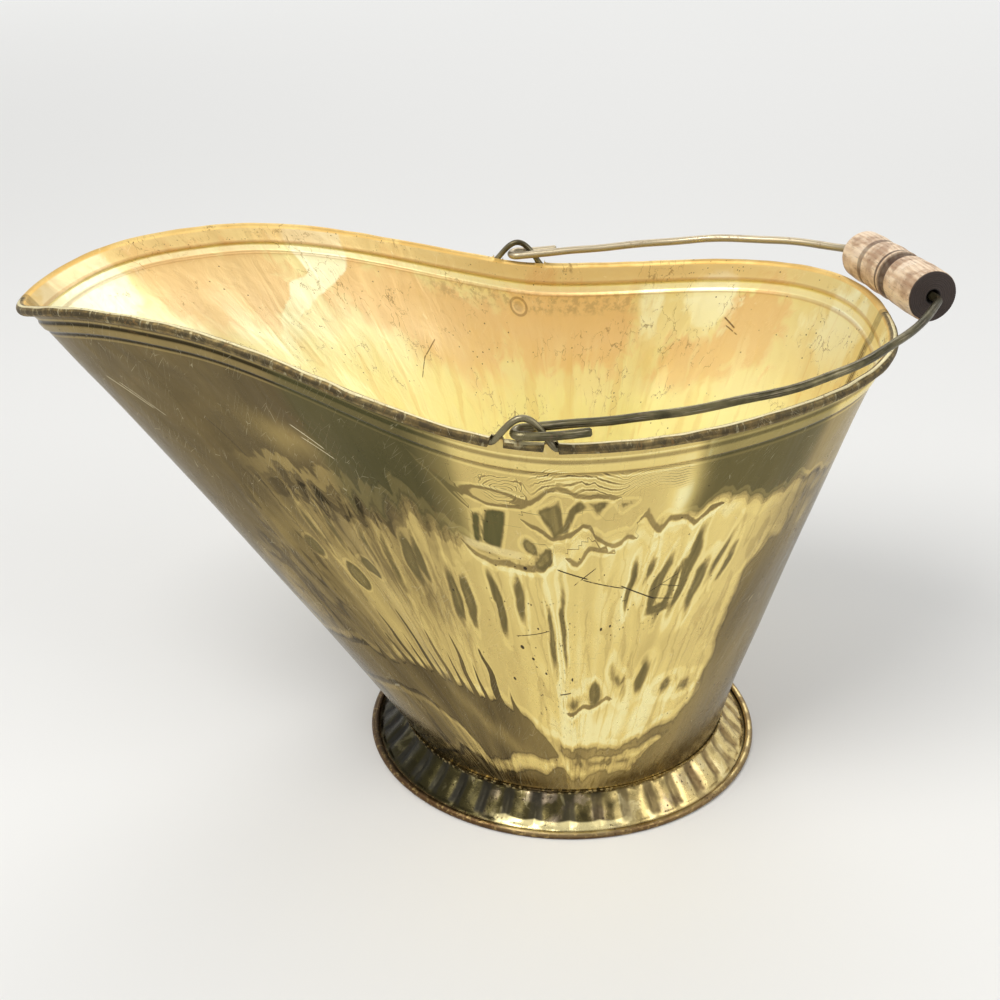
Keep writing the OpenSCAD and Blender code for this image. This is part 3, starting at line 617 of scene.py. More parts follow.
def body_sheet(side):
    """One side panel as a folded sheet with its true thickness.

    At each station the sheet's middle line turns round the rim wire, or stands up in the two notches where an
    ear leaves the bead. It runs down a straight ruling to the foot circle point that faces the same way, sags
    a little, carries the swaged band, and tucks into the foot.
    Its two faces are that line moved half the sheet's thickness each way."""
    runs = sheet_runs(STATION_STEP)
    p, t, out, f = rim_at(runs)
    foot_turn = foot_turns(runs, f)
    radial = np.stack([np.cos(foot_turn), np.sin(foot_turn), 0 * foot_turn], -1)
    b = radial * BOTTOM + np.array([0, 0, FOOT_HIGH])
    m = unit(np.cross(unit(b - p + ROLL * out), t))
    top = p - ROLL * m
    long = np.linalg.norm(b - top, axis=1)
    roll, spoke, roll_depth = bead_line(runs, p, m, np.cross(t, m))

    drop = np.concatenate([np.linspace(0.8, 8.0, 6), np.linspace(9.0, 16.5, 16), np.linspace(17.5, 30, 6)])
    share = drop[None, :] / long[:, None]
    lower = share[:, -1:] + (1 - share[:, -1:]) * np.linspace(0, 1, WALL_STEPS)[None, 1:-1] ** 1.3
    share = np.concatenate([share, lower], 1)
    down = share * long[:, None]
    band = BAND_PROUD * (smooth((down - BAND_TOP) / 1.6) - smooth((down - BAND_FOOT) / 1.6)) \
        - 0.12 * np.exp(-((down - 8.4) / 0.9) ** 2) - 0.12 * np.exp(-((down - 16.0) / 0.9) ** 2)
    lift = band - HOLLOW * 4 * share * (1 - share) + dents(runs[:, None], down, side)
    wall = top[:, None] + (b - top)[:, None] * share[..., None] + m[:, None] * lift[..., None]
    tuck_z = np.array([FOOT_HIGH + 0.6, FOOT_HIGH - 0.6, FOOT_HIGH - 2.0, FOOT_HIGH - 5.0, TUCK_Z])
    tuck = radial[:, None] * BOTTOM + np.zeros((1, TUCK_STEPS, 3))
    tuck[..., 2] = tuck_z
    line = np.concatenate([roll, wall, tuck], 1)
    to_out = np.concatenate([-spoke, np.repeat(m[:, None], wall.shape[1], 1),
                             np.repeat(radial[:, None], TUCK_STEPS, 1)], 1)
    depth = np.concatenate([roll_depth, down, long[:, None] + FOOT_HIGH - tuck_z], 1)
    fold = SEAM_PROUD * (1 - smooth((np.minimum(runs, RIM_LENGTH - runs) - 2.9) / 0.9))
    proud = fold[:, None] * (np.arange(line.shape[1]) >= ROLL_STEPS)

    outer = line + to_out * (SHEET / 2 + proud)[..., None]
    inner = line - to_out * SHEET / 2
    rings = np.concatenate([outer, inner[:, ::-1]], 1)
    rings[..., 1] = np.maximum(rings[..., 1], 0.0) + 0.05
    rows, columns = rings.shape[:2]
    unwrap = np.stack([np.repeat(runs[:, None], columns, 1), np.concatenate([depth, depth[:, ::-1]], 1)], -1) * MM
    place, low = unwrap[..., 0] / MM, unwrap[..., 1] / MM
    far = side > 0
    marks = outside_marks(place * 0.97 + 9.0 if far else place, low, 51 + side)
    marks["warmth"] = inside_marks(place, low, 61)
    marks = {key: value.reshape(-1, 3) for key, value in marks.items()}
    marks["inner_face"] = np.tile(np.arange(columns) >= columns // 2, rows).astype(float)
    faces = [grid_faces(rows, columns, flip=not far), strip_cap(0, columns, flip=not far),
             strip_cap((rows - 1) * columns, columns, flip=far)]
    return mesh_piece("far_brass_sheet" if far else "near_brass_sheet", rings.reshape(-1, 3) * [1, side, 1], faces,
                      unwrap.reshape(-1, 2), marks, sharp=50)


def tube(name, path, reference, radius, sides=20, closed=False):
    """A round wire along a path: rings square to the path, turned against a fixed direction, closed at the ends."""
    tangent = unit(np.roll(path, -1, 0) - np.roll(path, 1, 0)) if closed else unit(np.gradient(path, axis=0))
    over = unit(reference - tangent * np.sum(reference * tangent, -1, keepdims=True))
    a = np.linspace(0, 2 * np.pi, sides, endpoint=False)[None, :, None]
    count = len(path)
    radius = np.broadcast_to(radius, count)[:, None, None]
    points = (path[:, None] + radius * (np.cos(a) * over[:, None]
                                        + np.sin(a) * np.cross(tangent, over)[:, None])).reshape(-1, 3)
    unwrap = np.stack(np.broadcast_arrays(lengths(path)[:, None], a[..., 0] * 2.0), -1).reshape(-1, 2) * MM
    faces = [grid_faces(count, sides, along=closed)]
    if not closed:
        points = np.concatenate([points, path[:1] - tangent[:1] * 0.01, path[-1:] + tangent[-1:] * 0.01])
        unwrap = np.concatenate([unwrap, unwrap[:1], unwrap[-1:]])
        faces += [fan_cap(0, sides, count * sides, flip=True), fan_cap((count - 1) * sides, sides, count * sides + 1)]
    return mesh_piece(name, points, faces, unwrap, sharp=60)


def rim_wire():
    """The bead's middle line on both sides, with a hump of (1 - u^2)^1.5 at each ear."""
    runs = np.unique(np.concatenate([np.linspace(0, RIM_LENGTH, 300), EAR_RUN + np.linspace(-17, 17, 70)]))
    far = rim_at(runs)[0]
    u = np.clip(np.abs(far[:, 0] + EAR_AT) / EAR_HALF, 0, 1)
    far[:, 2] += EAR_RISE * (1 - u * u) ** 1.5
    path = np.concatenate([far * [1, -1, 1], far[::-1][1:-1]])
    out = unit(np.cross(np.roll(path, -1, 0) - np.roll(path, 1, 0), [[0, 0, -1.0]]))
    return tube("rim_wire_with_ears", path, out, RIM_WIRE, sides=18, closed=True)


# ---------------------------------------------------------------- foot

CRIMPS, CRIMP_SIDES, CRIMP_DEEP = 40, 16, 1.8
FOOT_SHEET, FLANGE_SLOPE, FOOT_WIRE = 0.6, np.radians(30.0), 1.3
EDGE_R = FOOT_WIRE + 0.1 + FOOT_SHEET / 2
EDGE_BEAD = EDGE_R + FOOT_SHEET / 2
EDGE_AT, EDGE_Z = 108.0 - EDGE_BEAD, EDGE_BEAD - 0.25
COLLAR_R = BOTTOM + SHEET / 2 + 0.1 + FOOT_SHEET / 2
COLLAR_Z = FOOT_HIGH - 0.8
COLLAR_STEPS, FLARE_STEPS, FLANGE_STEPS, EDGE_STEPS = 5, 22, 4, 22
FOOT_MIDDLE_R = 98.0


def crimped_foot():
    """A sheet turned round the foot's axis, with ribs pressed into it.

    Its line in (radius, height) runs down the collar, out along a cubic flare and a flat flange at 30 degrees,
    and round the edge wire. The ribs swell it outwards by depth * sin(pi s)^0.6 * |sin(40 a / 2)|^0.8."""
    end = np.array([EDGE_AT - EDGE_R * np.sin(FLANGE_SLOPE), EDGE_Z - EDGE_R * np.cos(FLANGE_SLOPE)])
    crimp_end = end + np.array([-3.0, 3.0 * np.tan(FLANGE_SLOPE)])
    crimp_top = np.array([COLLAR_R, COLLAR_Z - 2.2])
    s = np.linspace(0, 1, FLARE_STEPS)
    flare = hermite(s[:, None], crimp_top, crimp_end, np.array([1.0, -12.6]),
                    np.array([14.0, -14.0 * np.tan(FLANGE_SLOPE)]))[0]
    collar = np.stack([COLLAR_R + np.array([0.28, 0.30, 0.12, 0.0, 0.0]),
                       COLLAR_Z - np.array([0.0, 0.35, 0.8, 1.2, 1.7])], -1)
    flange = crimp_end + (end - crimp_end) * np.linspace(0.2, 0.85, FLANGE_STEPS)[:, None]
    turn = np.radians(np.linspace(240, 513, EDGE_STEPS))
    edge = np.stack([EDGE_AT + EDGE_R * np.cos(turn), EDGE_Z + EDGE_R * np.sin(turn)], -1)
    line = np.concatenate([collar, flare, flange, edge])
    swell = np.pad(np.sin(np.pi * s) ** 0.6, (COLLAR_STEPS, FLANGE_STEPS + EDGE_STEPS))
    tangent = unit(np.gradient(line, axis=0))
    side = np.stack([-tangent[:, 1], tangent[:, 0]], -1)

    a = np.linspace(0, 2 * np.pi, CRIMPS * CRIMP_SIDES, endpoint=False)
    drift = 0.010 * (np.sin(3 * a + 1.0) + np.sin(7 * a + 2.1)) + 0.006 * np.sin(13 * a)
    press = np.abs(np.sin((a + drift) * CRIMPS / 2)) ** 0.8
    depth = CRIMP_DEEP * (1 + 0.16 * np.sin(5 * a + 0.7) + 0.10 * np.sin(11 * a + 2.0) + 0.08 * np.sin(17 * a))
    out = (press * depth)[:, None] * swell \
        + 0.12 * ripple(a[:, None] * 40, np.arange(len(line))[None] * 0.5, 31, 8)
    out[:, :2] = out[:, -2 - EDGE_STEPS:] = 0
    outer, inner = (line + side * (out + h * FOOT_SHEET / 2)[..., None] for h in (1, -1))
    section = np.concatenate([outer, inner[:, ::-1]], 1)
    radius, high = section[..., 0], section[..., 1]
    ring = np.stack([radius * np.cos(a)[:, None], radius * np.sin(a)[:, None], np.maximum(high, 0.0)], -1)
    rows, columns = radius.shape
    along = lengths(line)
    unwrap = np.stack(np.broadcast_arrays(a[:, None] * FOOT_MIDDLE_R, np.concatenate([along, along[::-1]])), -1) * MM
    return mesh_piece("crimped_foot", ring.reshape(-1, 3), [grid_faces(rows, columns, along=True)],
                      unwrap.reshape(-1, 2), {"flute": np.repeat(1 - press, columns)}, sharp=48)


# ---------------------------------------------------------------- bail and grip

PIVOT = np.array([-30.3, 0.0, 236.178])
TILT = np.radians(6.21527)
HOOK_R, LEG_V = 4.15, 117.396
CORNERS = np.array([[HOOK_R, -LEG_V], [158.0, -LEG_V], [211.0, -13.0], [187.0, 72.0], [137.0, LEG_V],
                    [HOOK_R, LEG_V]])
BENDS = [0.0, 170.0, 7.0, 20.0, 150.0, 0.0]
HOOK_STEPS, BEND_STEPS, PATH_STEP = 32, 40, 0.8
NEAR_TONGUE, FAR_TONGUE, TONGUE_FALL, TONGUE_SAG = 30.0, 22.0, np.radians(2.0), 0.9


def from_bail(points):
    """Points in the bail's plane (u to the rear, v across, w out of it) to the scuttle's frame."""
    u, v, w = points[..., 0], points[..., 1], points[..., 2]
    return np.stack([u * np.cos(TILT) - w * np.sin(TILT), v, u * np.sin(TILT) + w * np.cos(TILT)], -1) + PIVOT


def arc(centre, radius, start, turn, count):
    a = start + turn * np.linspace(0, 1, count)
    return centre + radius * np.stack([np.cos(a), np.sin(a)], -1)


def even_path(points, step):
    """The same path with its points a step apart."""
    run = lengths(points)
    keep = np.concatenate([[True], np.diff(run) > 1e-6])
    at = np.linspace(0, run[-1], int(run[-1] / step) + 1)
    return np.stack([np.interp(at, run[keep], points[keep, k]) for k in range(points.shape[1])], -1), at


def bail():
    """A wire along straight runs and circular bends through given corners, hooked back at both ends.

    The tongues fall 2 degrees below the legs and sag a little. The legs waver by a few tenths of a millimetre."""
    flat = [arc(np.array([HOOK_R, -LEG_V - HOOK_R]), HOOK_R, -np.pi / 2, -np.pi, HOOK_STEPS)]
    for last, corner, following, bend in zip(CORNERS, CORNERS[1:], CORNERS[2:], BENDS[1:]):
        before, after = unit(corner - last), unit(following - corner)
        turn = np.arctan2(before[0] * after[1] - before[1] * after[0], before @ after)
        start = corner - before * bend * np.tan(turn / 2)
        normal = np.array([-before[1], before[0]])
        flat.append(arc(start + normal * bend, bend, np.arctan2(-normal[1], -normal[0]), turn, BEND_STEPS))
    flat.append(arc(np.array([HOOK_R, LEG_V + HOOK_R]), HOOK_R, -np.pi / 2, -np.pi, HOOK_STEPS))
    middle = np.pad(np.concatenate(flat), ((0, 0), (0, 1)))
    reach = np.linspace(0, 1, 12)[:, None]
    way = np.array([np.cos(TONGUE_FALL), 0.0, -np.sin(TONGUE_FALL)])
    sag = np.array([0.0, 0.0, -TONGUE_SAG]) * np.sin(np.pi * reach ** 0.8)
    near = middle[0] + way * NEAR_TONGUE * reach[::-1] + sag[::-1]
    far = middle[-1] + way * FAR_TONGUE * reach + sag * 0.5
    path, run = even_path(np.concatenate([near[:-1], middle, far[1:]]), PATH_STEP)
    total = run[-1]
    free = smooth((run - 60) / 30) * smooth((total - 50 - run) / 30) * (1 - np.exp(-((run - 300) / 60) ** 4))
    path[:, 2] += 0.35 * np.sin(run / 17.0) * free + 0.25 * np.sin(run / 7.3 + 1) * free
    path[:, 1] += 0.35 * np.sin(run / 21.0 + 2) * free
    tip = np.minimum(np.minimum(run, total - run) / 1.1, 1)
    radius = BAIL_WIRE * (0.55 + 0.45 * np.sqrt(np.clip(1 - (1 - tip) ** 2, 0.0, 1)))
    radius = radius * (1 + 0.012 * np.sin(run / 3.1) * np.sin(run / 11.0))
    return tube("bail_wire", from_bail(path), np.array([[-np.sin(TILT), 0, np.cos(TILT)]]), radius)


GRIP_FROM, GRIP_LONG, GRIP_R, GRIP_SIDES = 6.0, 75.0, 13.6, 128
END_STEPS, BORE_MOUTH, END_ROUND = 12, 3.9, 0.25
# The turning's outline: places along the grip as shares of its length, and how deep it is cut there
TURNING = [(0, 1), (0.014, 0.3), (0.18, 0), (0.35, 0.4), (0.373, 0.9), (0.39, 2.0), (0.42, 2.4), (0.447, 1.8),
           (0.457, 0.4), (0.475, 0.4), (0.487, 1.1), (0.505, 0.7), (0.61, 0.2), (0.705, 0.6), (0.727, 1.2),
           (0.75, 0.7), (0.86, 0.3), (0.98, 0.7), (1, 1.5)]
BORE = [(3.5, GRIP_LONG - 0.4), (3.1, GRIP_LONG - 3), (2.3, GRIP_LONG - 7), (2.3, 7.0), (3.1, 3.0), (3.5, 0.4)]
# Nicks in the wood, each (depth, angle round the grip, half width, place along it, half length)
NICKS = [(0.5, 2.2, 0.10, 21, 2.2), (0.45, 4.6, 0.14, 44, 1.4), (0.6, 5.4, 0.16, 0.6, 1.2)]


def wooden_grip():
    """A turning: the outline's radius at each place along the axis, with worn spots, saw-marked ends and a bore."""
    station, depth = np.array(TURNING).T
    s = np.unique(np.concatenate([np.linspace(0, 1, 120), station, np.linspace(0.36, 0.50, 30),
                                  np.linspace(0.70, 0.76, 14), [0.004, 0.008, 0.99, 0.995]]))
    outline = GRIP_R - np.interp(s, station, depth)
    soft = np.convolve(np.pad(outline, 1, mode="edge"), [0.2, 0.6, 0.2], "valid")
    outline = np.where((s < 0.01) | (s > 0.99), outline, soft)

    def end_face(radius, saw):
        return np.stack([radius, saw * (0.10 * np.sin(radius * 2.6) - 0.05)], -1)
    near_face = end_face(np.linspace(BORE_MOUTH, outline[0] - END_ROUND, END_STEPS), 1)
    far_face = end_face(np.linspace(outline[-1] - END_ROUND, BORE_MOUTH, END_STEPS), -1) + [0, GRIP_LONG]
    line = np.concatenate([near_face, np.stack([outline, s * GRIP_LONG], -1), far_face, BORE])
    along, a = line[:, 1:], np.linspace(0, 2 * np.pi, GRIP_SIDES, endpoint=False)[None]
    worn = 0.14 * ripple(np.cos(a) * 2.0, np.sin(a) * 2.0 + along * 0.06, 41, 9) - 0.05 \
        - sum(deep * np.exp(-(((a - at) / wide) ** 2 + ((along - place) / half) ** 2))
              for deep, at, wide, place, half in NICKS)
    outside = np.pad(np.ones(len(s)), (END_STEPS, END_STEPS + len(BORE)))[:, None]
    radius = line[:, :1] + worn * outside
    local = np.stack([np.repeat(along, GRIP_SIDES, 1), radius * np.cos(a), radius * np.sin(a)], -1)
    heading = unit(CORNERS[3] - CORNERS[2])
    aside = np.array([-heading[1], heading[0]])
    flat = CORNERS[2] + heading * (GRIP_FROM + local[..., :1]) + aside * local[..., 1:2]
    placed = from_bail(np.concatenate([flat, local[..., 2:]], -1))
    return mesh_piece("turned_grip", placed.reshape(-1, 3), [grid_faces(len(line), GRIP_SIDES, along=True, flip=True)],
                      None, {"turned": local.reshape(-1, 3) * MM}, sharp=45)


# ---------------------------------------------------------------- finishes

def window(value, low, high, soft):
    """1 between low and high, fading to 0 over soft on both sides."""
    return value.ramp(low - soft, low) * value.ramp(high + soft, high)


def zones(run, drop, *areas):
    """1 in soft rectangles of the sheet, each (from, to, softness) along the rim and then below it."""
    return reduce(Flow.__add__, [window(run, *area[:3]) * window(drop, *area[3:]) for area in areas])


def scratches(run, drop, places):
    """Thin straight scratches that fade at both ends, as a share of 0 to 1."""
    marks = []
    for at, low, to, under, width in places:
        long = float(np.hypot(to - at, under - low))
        x, y = (to - at) / long, (under - low) / long
        along = (run - at) * x + (drop - low) * y
        beside = (drop - low) * x - (run - at) * y
        marks.append(beside.size().ramp(width, width * 0.4) * window(along, 0, long, 2))
    return reduce(Flow.__add__, marks)


# Scratches on the sheet, each (run, drop, run, drop, width) from end to end, in millimetres
SCRATCHES_INSIDE = [(320, 57, 332, 70, 0.45), (332, 70, 340, 84, 0.4), (121, 32, 114, 37, 0.6),
                    (118, 37, 111, 41, 0.45)]
SCRATCHES_OUTSIDE = [(239, 71, 221, 76, 0.55), (222, 77, 196, 84, 0.42), (228, 79, 216, 71, 0.38),
                     (196, 83, 172, 95, 0.50), (175, 90, 160, 84, 0.28), (172, 95, 158, 99, 0.30),
                     (168, 88, 156, 92, 0.24), (275, 118, 252, 110, 0.30), (246, 150, 234, 148, 0.50),
                     (455, 62, 446, 82, 0.30)]
BRIGHT_SCRATCHES = [(506, 44, 492, 62, 0.35), (500, 48, 487, 66, 0.25), (388, 44, 374, 50, 0.5),
                    (385, 50, 370, 54, 0.4)]


def sheet_brass(name, seed, bead_grime_and_light, scratched_with_darker_reflections):
    """Old brass sheet, in its own place on the panel: run along the rim and drop below it, in millimetres.

    The mesh's marks say where painted reflections, light and dark, lie outside, and painted highlights inside.
    Noise frays their borders, and adds drawn threads, wandering lines of painted reflection, pits, crazing, hair
    scratches and, on one panel, the deep black scratches."""
    p = Paint(name, metallic=0.92)
    u, v, _ = p.parts(p.unwrapped())
    run, drop = u * TO_MM, v * TO_MM
    inner = p.mark("inner_face")
    above, below, low = p.parts(p.mark("reflection_tones", True))
    edge_gap, low_gap, dark_gap = p.parts(p.mark("borders", True))
    line_gap, fan, fanned = p.parts(p.mark("lines", True))
    pale, peach, lemon = p.parts(p.mark("warmth", True))
    shift = seed * 3.7

    def noise(along, down, layer, *look):
        return p.noise(p.point(along, down, shift + layer), 1, *look)

    def cells(along, down, layer, *look):
        return p.cells(p.point(along, down, shift + layer), 1, *look)

    wander = noise(u * 20, v * 10, 0, 2.5)
    tongues = noise(u * 62 + wander * 3, v * 11 + wander * 0.6, 4, 2.6, 0.5, 0.5)
    threads = noise(u * 330 + wander * 8, v * 13, 8, 3, 0.6)
    patches = noise(u * 26, v * 30, 12, 4, 0.55, 0.5)
    grime_and_sheen = noise(u * 260, v * 260, 16, 5, 0.65)
    creep = noise(u * 90, v * 60, 20, 3, 0.55, 0.8)
    strokes = noise(u * 105 + creep * 0.9, v * 15, 44, 1.5, 0.4, 0.4)

    # tone: lightness of the outer brass, painted reflection over its olive tarnish: 0 is black, 1 is bare pale gold
    # the grime noise also frays the borders of the painted reflections
    fray = (creep - 0.5) * 5 + (grime_and_sheen - 0.5) * 1.6
    past_edge, past_low, shape = edge_gap + fray, low_gap + fray, dark_gap + fray * 0.5
    below_scallop_reflection = past_edge.ramp(-1.4, 1.4)
    soft = (tongues - 0.5) * 0.22 + (patches - 0.5) * 0.16 + (threads - 0.5) * 0.08
    tone = above + (tongues - 0.5) * 0.10 + (patches - 0.5) * 0.14 + (threads - 0.5) * 0.05
    tone = tone + (below + soft - tone) * below_scallop_reflection
    # painted reflection: thin dark veins and brighter streaks below the scalloped edge, light and dark outlines along
    # it
    reflection_veins = window(strokes, 0.54, 0.57, 0.02) * below_scallop_reflection
    tone = tone - reflection_veins * 0.11 + strokes.ramp(0.60, 0.68) * below_scallop_reflection * 0.07
    outline = window(past_edge, -2.6, -1.4, 0.8) * 0.22 - window(past_edge, 0.7, 2, 0.8) * 0.20
    tone = tone + outline * above.ramp(1.1, 0.3) * window(run, 110, 410, 60)
    tone = tone + window(past_edge, 5, 7, 2) * 0.06
    # painted reflections: the fanned lines under the rim, then the dark ovals and shapes, then the fine curves
    fan_reflection = (fan * 1.75 + (creep - 0.5) * 11 + (tongues - 0.5) * 6).wave()
    lively = patches.ramp(0.36, 0.52) * 0.7 + 0.3
    lined = 0.68 - fan_reflection.ramp(-0.55, -0.92) * 0.42 * lively + window(fan_reflection, -0.35, 0.30, 0.30) * 0.24
    tone = tone + (lined - tone) * fanned * 0.92
    body = (shape + (strokes - 0.5) * 6).ramp(0.8, -1.2)
    heart = shape.ramp(-1.2, -3)
    # the near panel's dark ovals of painted reflection are deeper
    depth = 1.0 if scratched_with_darker_reflections else 0.6
    dark = 0.86 - heart * 0.30 - (threads - 0.5) * 0.8
    tone = tone - (tone - 0.24) * body * dark * depth + window(shape, 1, 2, 0.7) * 0.10
    past_line = line_gap + (creep - 0.5) * 2.4
    tone = tone - (tone - 0.26) * past_line.size().ramp(1.1, 0.45) * (0.42 + patches * 0.7) \
        + window(past_line, 1, 1.8, 0.4) * 0.12
    # painted reflection at the dark foot of the wall, and painted shade and highlights along the swaged band
    tone = tone + (low + (tongues - 0.5) * 0.12 + (threads - 0.5) * 0.10 - tone) * past_low.ramp(-0.9, 1.2)
    border = window(past_low, -1.2, 0.8, 0.7) * 0.14 - window(past_low, -4.6, -2.8, 1) * 0.10
    tone = tone - border * run.ramp(84, 112)
    tone = tone - (window(drop, 8.4, 9.4, 0.7) + window(drop, 15.2, 16.4, 0.7)) * 0.22 \
        + window(drop, 10.6, 13.6, 1.2) * 0.14 + window(drop, 17.4, 18.2, 0.4) * 0.14 \
        + window(drop, 6.6, 7.3, 0.4) * 0.20
    # painted reflections laid over the gold: olive patches, the dark block and ovals, and a painted highlight on the
    # plate
    olive = (window(run, 100, 162, 10) + window(run, 296, 372, 14)) * (1 - below_scallop_reflection)
    blocked = zones(run, drop, (262, 292, 2, 35, 62, 2)) * body
    plate = window(drop, 64.5, 67.5, 1.6) * window(run, 265, 292, 5)
    gold = p.shades(tone, (0, (58, 50, 30)), (0.16, (104, 90, 60)), (0.40, (158, 138, 88)),
                    (0.64, (210, 186, 118)), (0.84, (239, 216, 138)), (1, (252, 241, 180)))
    outside = p.coats(gold,
        ((olive * 0.55 + blocked * 0.5 + body * 0.38 * depth).least(0.9), (92, 90, 56)),
        (plate * 0.6, (238, 220, 160)))

    deep = drop.ramp(10, 100)
    yellow = p.blend(deep, (236, 220, 156), (254, 248, 210))
    orange = p.blend(deep, (230, 194, 134), (249, 226, 184))
    ragged = (creep - 0.5) * 0.9 + (tongues - 0.5) * 0.7
    smudge = window(drop, 17, 24, 5) * window(run, 190, 300, 26) * grime_and_sheen.ramp(0.44, 0.62)
    # painted shade in a band under the rim on the inside
    rim_shade_band = window(drop, -1, 8.4, 1.2) * (0.32 + patches * 0.5) * run.ramp(30, 120)
    # painted shade in the pressed ring beside the ear
    about = ((run - EAR_RUN - 3) ** 2 + (drop - 24) ** 2) ** 0.5
    torn = scratches(run, drop, SCRATCHES_INSIDE) + zones(run, drop, (0.5, 1.7, 0.3, 20, 75, 6))
    # painted highlights in pale patches and light streaks, painted reflection in darker streaks, and painted shade and
    # a painted highlight along the swaged band
    inside = p.coats(yellow,
        ((peach + ragged).ramp(0.22, 0.52) * (0.70 + patches * 0.5), orange),
        ((lemon + ragged).ramp(0.30, 0.90) * 0.75, (254, 250, 200)),
        ((pale + ragged * 0.8).ramp(0.30, 0.56) * 0.95, (249, 246, 206)),
        (strokes.ramp(0.56, 0.66) * drop.ramp(30, 80) * 0.55, (254, 249, 206)),
        (strokes.ramp(0.44, 0.34) * drop.ramp(24, 60) * 0.30, (232, 200, 136)),
        (threads.ramp(0.58, 0.76) * 0.26, (218, 184, 120)), (smudge * 0.5, (170, 144, 98)),
        (rim_shade_band.least(0.9), (210, 168, 104)),
        ((window(drop, 7.9, 9.3, 0.8) + window(drop, 14.9, 16.2, 0.8)) * 0.40, (178, 128, 70)),
        (window(drop, 10.4, 13.4, 1) * 0.5, (250, 240, 190)),
        (window(about, 4.6, 5.6, 0.5) * 0.55 + about.ramp(3.6, 2.4) * 0.3, (140, 108, 66)),
        ((torn * grime_and_sheen.ramp(0.30, 0.46)).least(0.85), (104, 74, 40)))

    # the bead: further round it is a larger number of turned millimetres
    turned = drop * -1
    bead = turned.ramp(-0.4, 0.6)
    # grime and painted shade: darker further round the bead from its inner edge, strongest on the near panel
    dirt_and_shade = turned.ramp(0.2, 1.8) * (0.35 + grime_and_sheen * 1) * bead_grime_and_light
    chips = noise(u * 420, v * 160, 50, 3, 0.6).ramp(0.58, 0.64) * turned.ramp(2, 4.5)
    # painted highlight along the bead's top
    glint = window(turned, 2.7, 3.6, 0.4) * (0.35 + grime_and_sheen * 0.9) * bead_grime_and_light
    # painted line further round the bead: painted shade on the near panel, painted highlight on the far one
    lip_share, lip_shade = (0.5, (30, 25, 18)) if scratched_with_darker_reflections else (0.35, (250, 232, 176))
    bead_brass = p.coats(p.blend(patches.ramp(0.40, 0.60), (226, 186, 108), (240, 208, 134)),
        (dirt_and_shade.least(0.92), (62, 55, 34)), (chips * 0.5 * bead_grime_and_light, (196, 184, 142)),
        (glint.least(0.9), (238, 226, 180)), (window(turned, 5.2, 6.4, 0.5) * lip_share, lip_shade))

    flecks = cells(u * 520, v * 520, 0).ramp(0.24, 0.12) * grime_and_sheen.ramp(0.46, 0.60)
    rust = noise(u * 30, v * 60, 30).ramp(0.46, 0.56) * turned.ramp(-16, -2)
    pits = cells(u * 190, v * 190, 3).ramp(0.115, 0.06) * noise(u * 34, v * 26, 33, 2).ramp(0.50, 0.60)
    crazing = cells(u * 150 + creep * 2, v * 70 + grime_and_sheen, 5, "DISTANCE_TO_EDGE").ramp(0.030, 0.006) \
        * patches.ramp(0.50, 0.60) * grime_and_sheen.ramp(0.40, 0.52)
    seam = run.ramp(5, 3.4) + run.ramp(RIM_LENGTH - 5, RIM_LENGTH - 3.4)
    foot = p.parts(p.place())[2].ramp(0.030, 0.021) * grime_and_sheen.ramp(0.40, 0.60)
    base = p.coats(p.blend(inner, outside, inside),
        (bead, bead_brass), (flecks * rust * 0.9, (52, 38, 26)), (pits * 0.9, (66, 52, 30)),
        (crazing * (0.25 + inner * 0.40), (132, 100, 54)), (seam * (0.15 + grime_and_sheen * 0.6), (96, 82, 50)),
        (foot * 0.35, (122, 102, 62)))

    marks = pits * 0.5 + crazing * 0.2
    if scratched_with_darker_reflections:
        cuts = scratches(run, drop, SCRATCHES_OUTSIDE)
        for at, below_rim, size in SPOTS:
            cuts = cuts + ((run - at) ** 2 + (drop - below_rim) ** 2).ramp(size * size, size * size * 0.4)
        cuts = (cuts * grime_and_sheen.ramp(0.28, 0.42)).least(1)
        crumbs = p.cells(p.point(u * 300, v * 300, 9), 1).ramp(0.22, 0.12) \
            * zones(run, drop, (155, 200, 10, 84, 112, 8), (232, 268, 8, 96, 168, 10),
                    (259, 268, 3, 168, 200, 6)).least(1) * creep.ramp(0.46, 0.58)
        base = p.coats(base,
            ((cuts + crumbs * 0.8).least(0.95), (44, 34, 22)),
            (scratches(run, drop, BRIGHT_SCRATCHES) * 0.8, (238, 226, 188)))
        marks = marks + cuts + crumbs * 0.5
    hair = cells(u * 9 + v * 34, v * 210 - u * 260, 0, "DISTANCE_TO_EDGE").ramp(0.010, 0.002) \
        * creep.ramp(0.46, 0.60)
    base = p.blend(hair * 0.30, base, (250, 238, 196))

    rough = 0.25 + (grime_and_sheen - 0.5) * 0.20 + (patches - 0.5) * 0.14 + inner * 0.14 + bead * 0.14 \
        + (1 - below_scallop_reflection) * 0.05 + marks * 0.2 + hair * 0.08
    relief = (wander - 0.5) * 1.2 + (tongues - 0.5) * 0.7 + (creep - 0.5) * 0.25
    normal = p.bump(relief, 0.0013, 0.6)
    normal = p.bump((grime_and_sheen - 0.5) * 0.5 + (threads - 0.5) * 0.4 - marks * 1.2 + hair * 0.3, 0.00014, 0.55, normal)
    metal = 0.94 - marks * 0.3 - bead * dirt_and_shade * 0.25 - inner * 0.14
    return p.finish(base, rough.most(0.14).least(0.85), normal, metal)


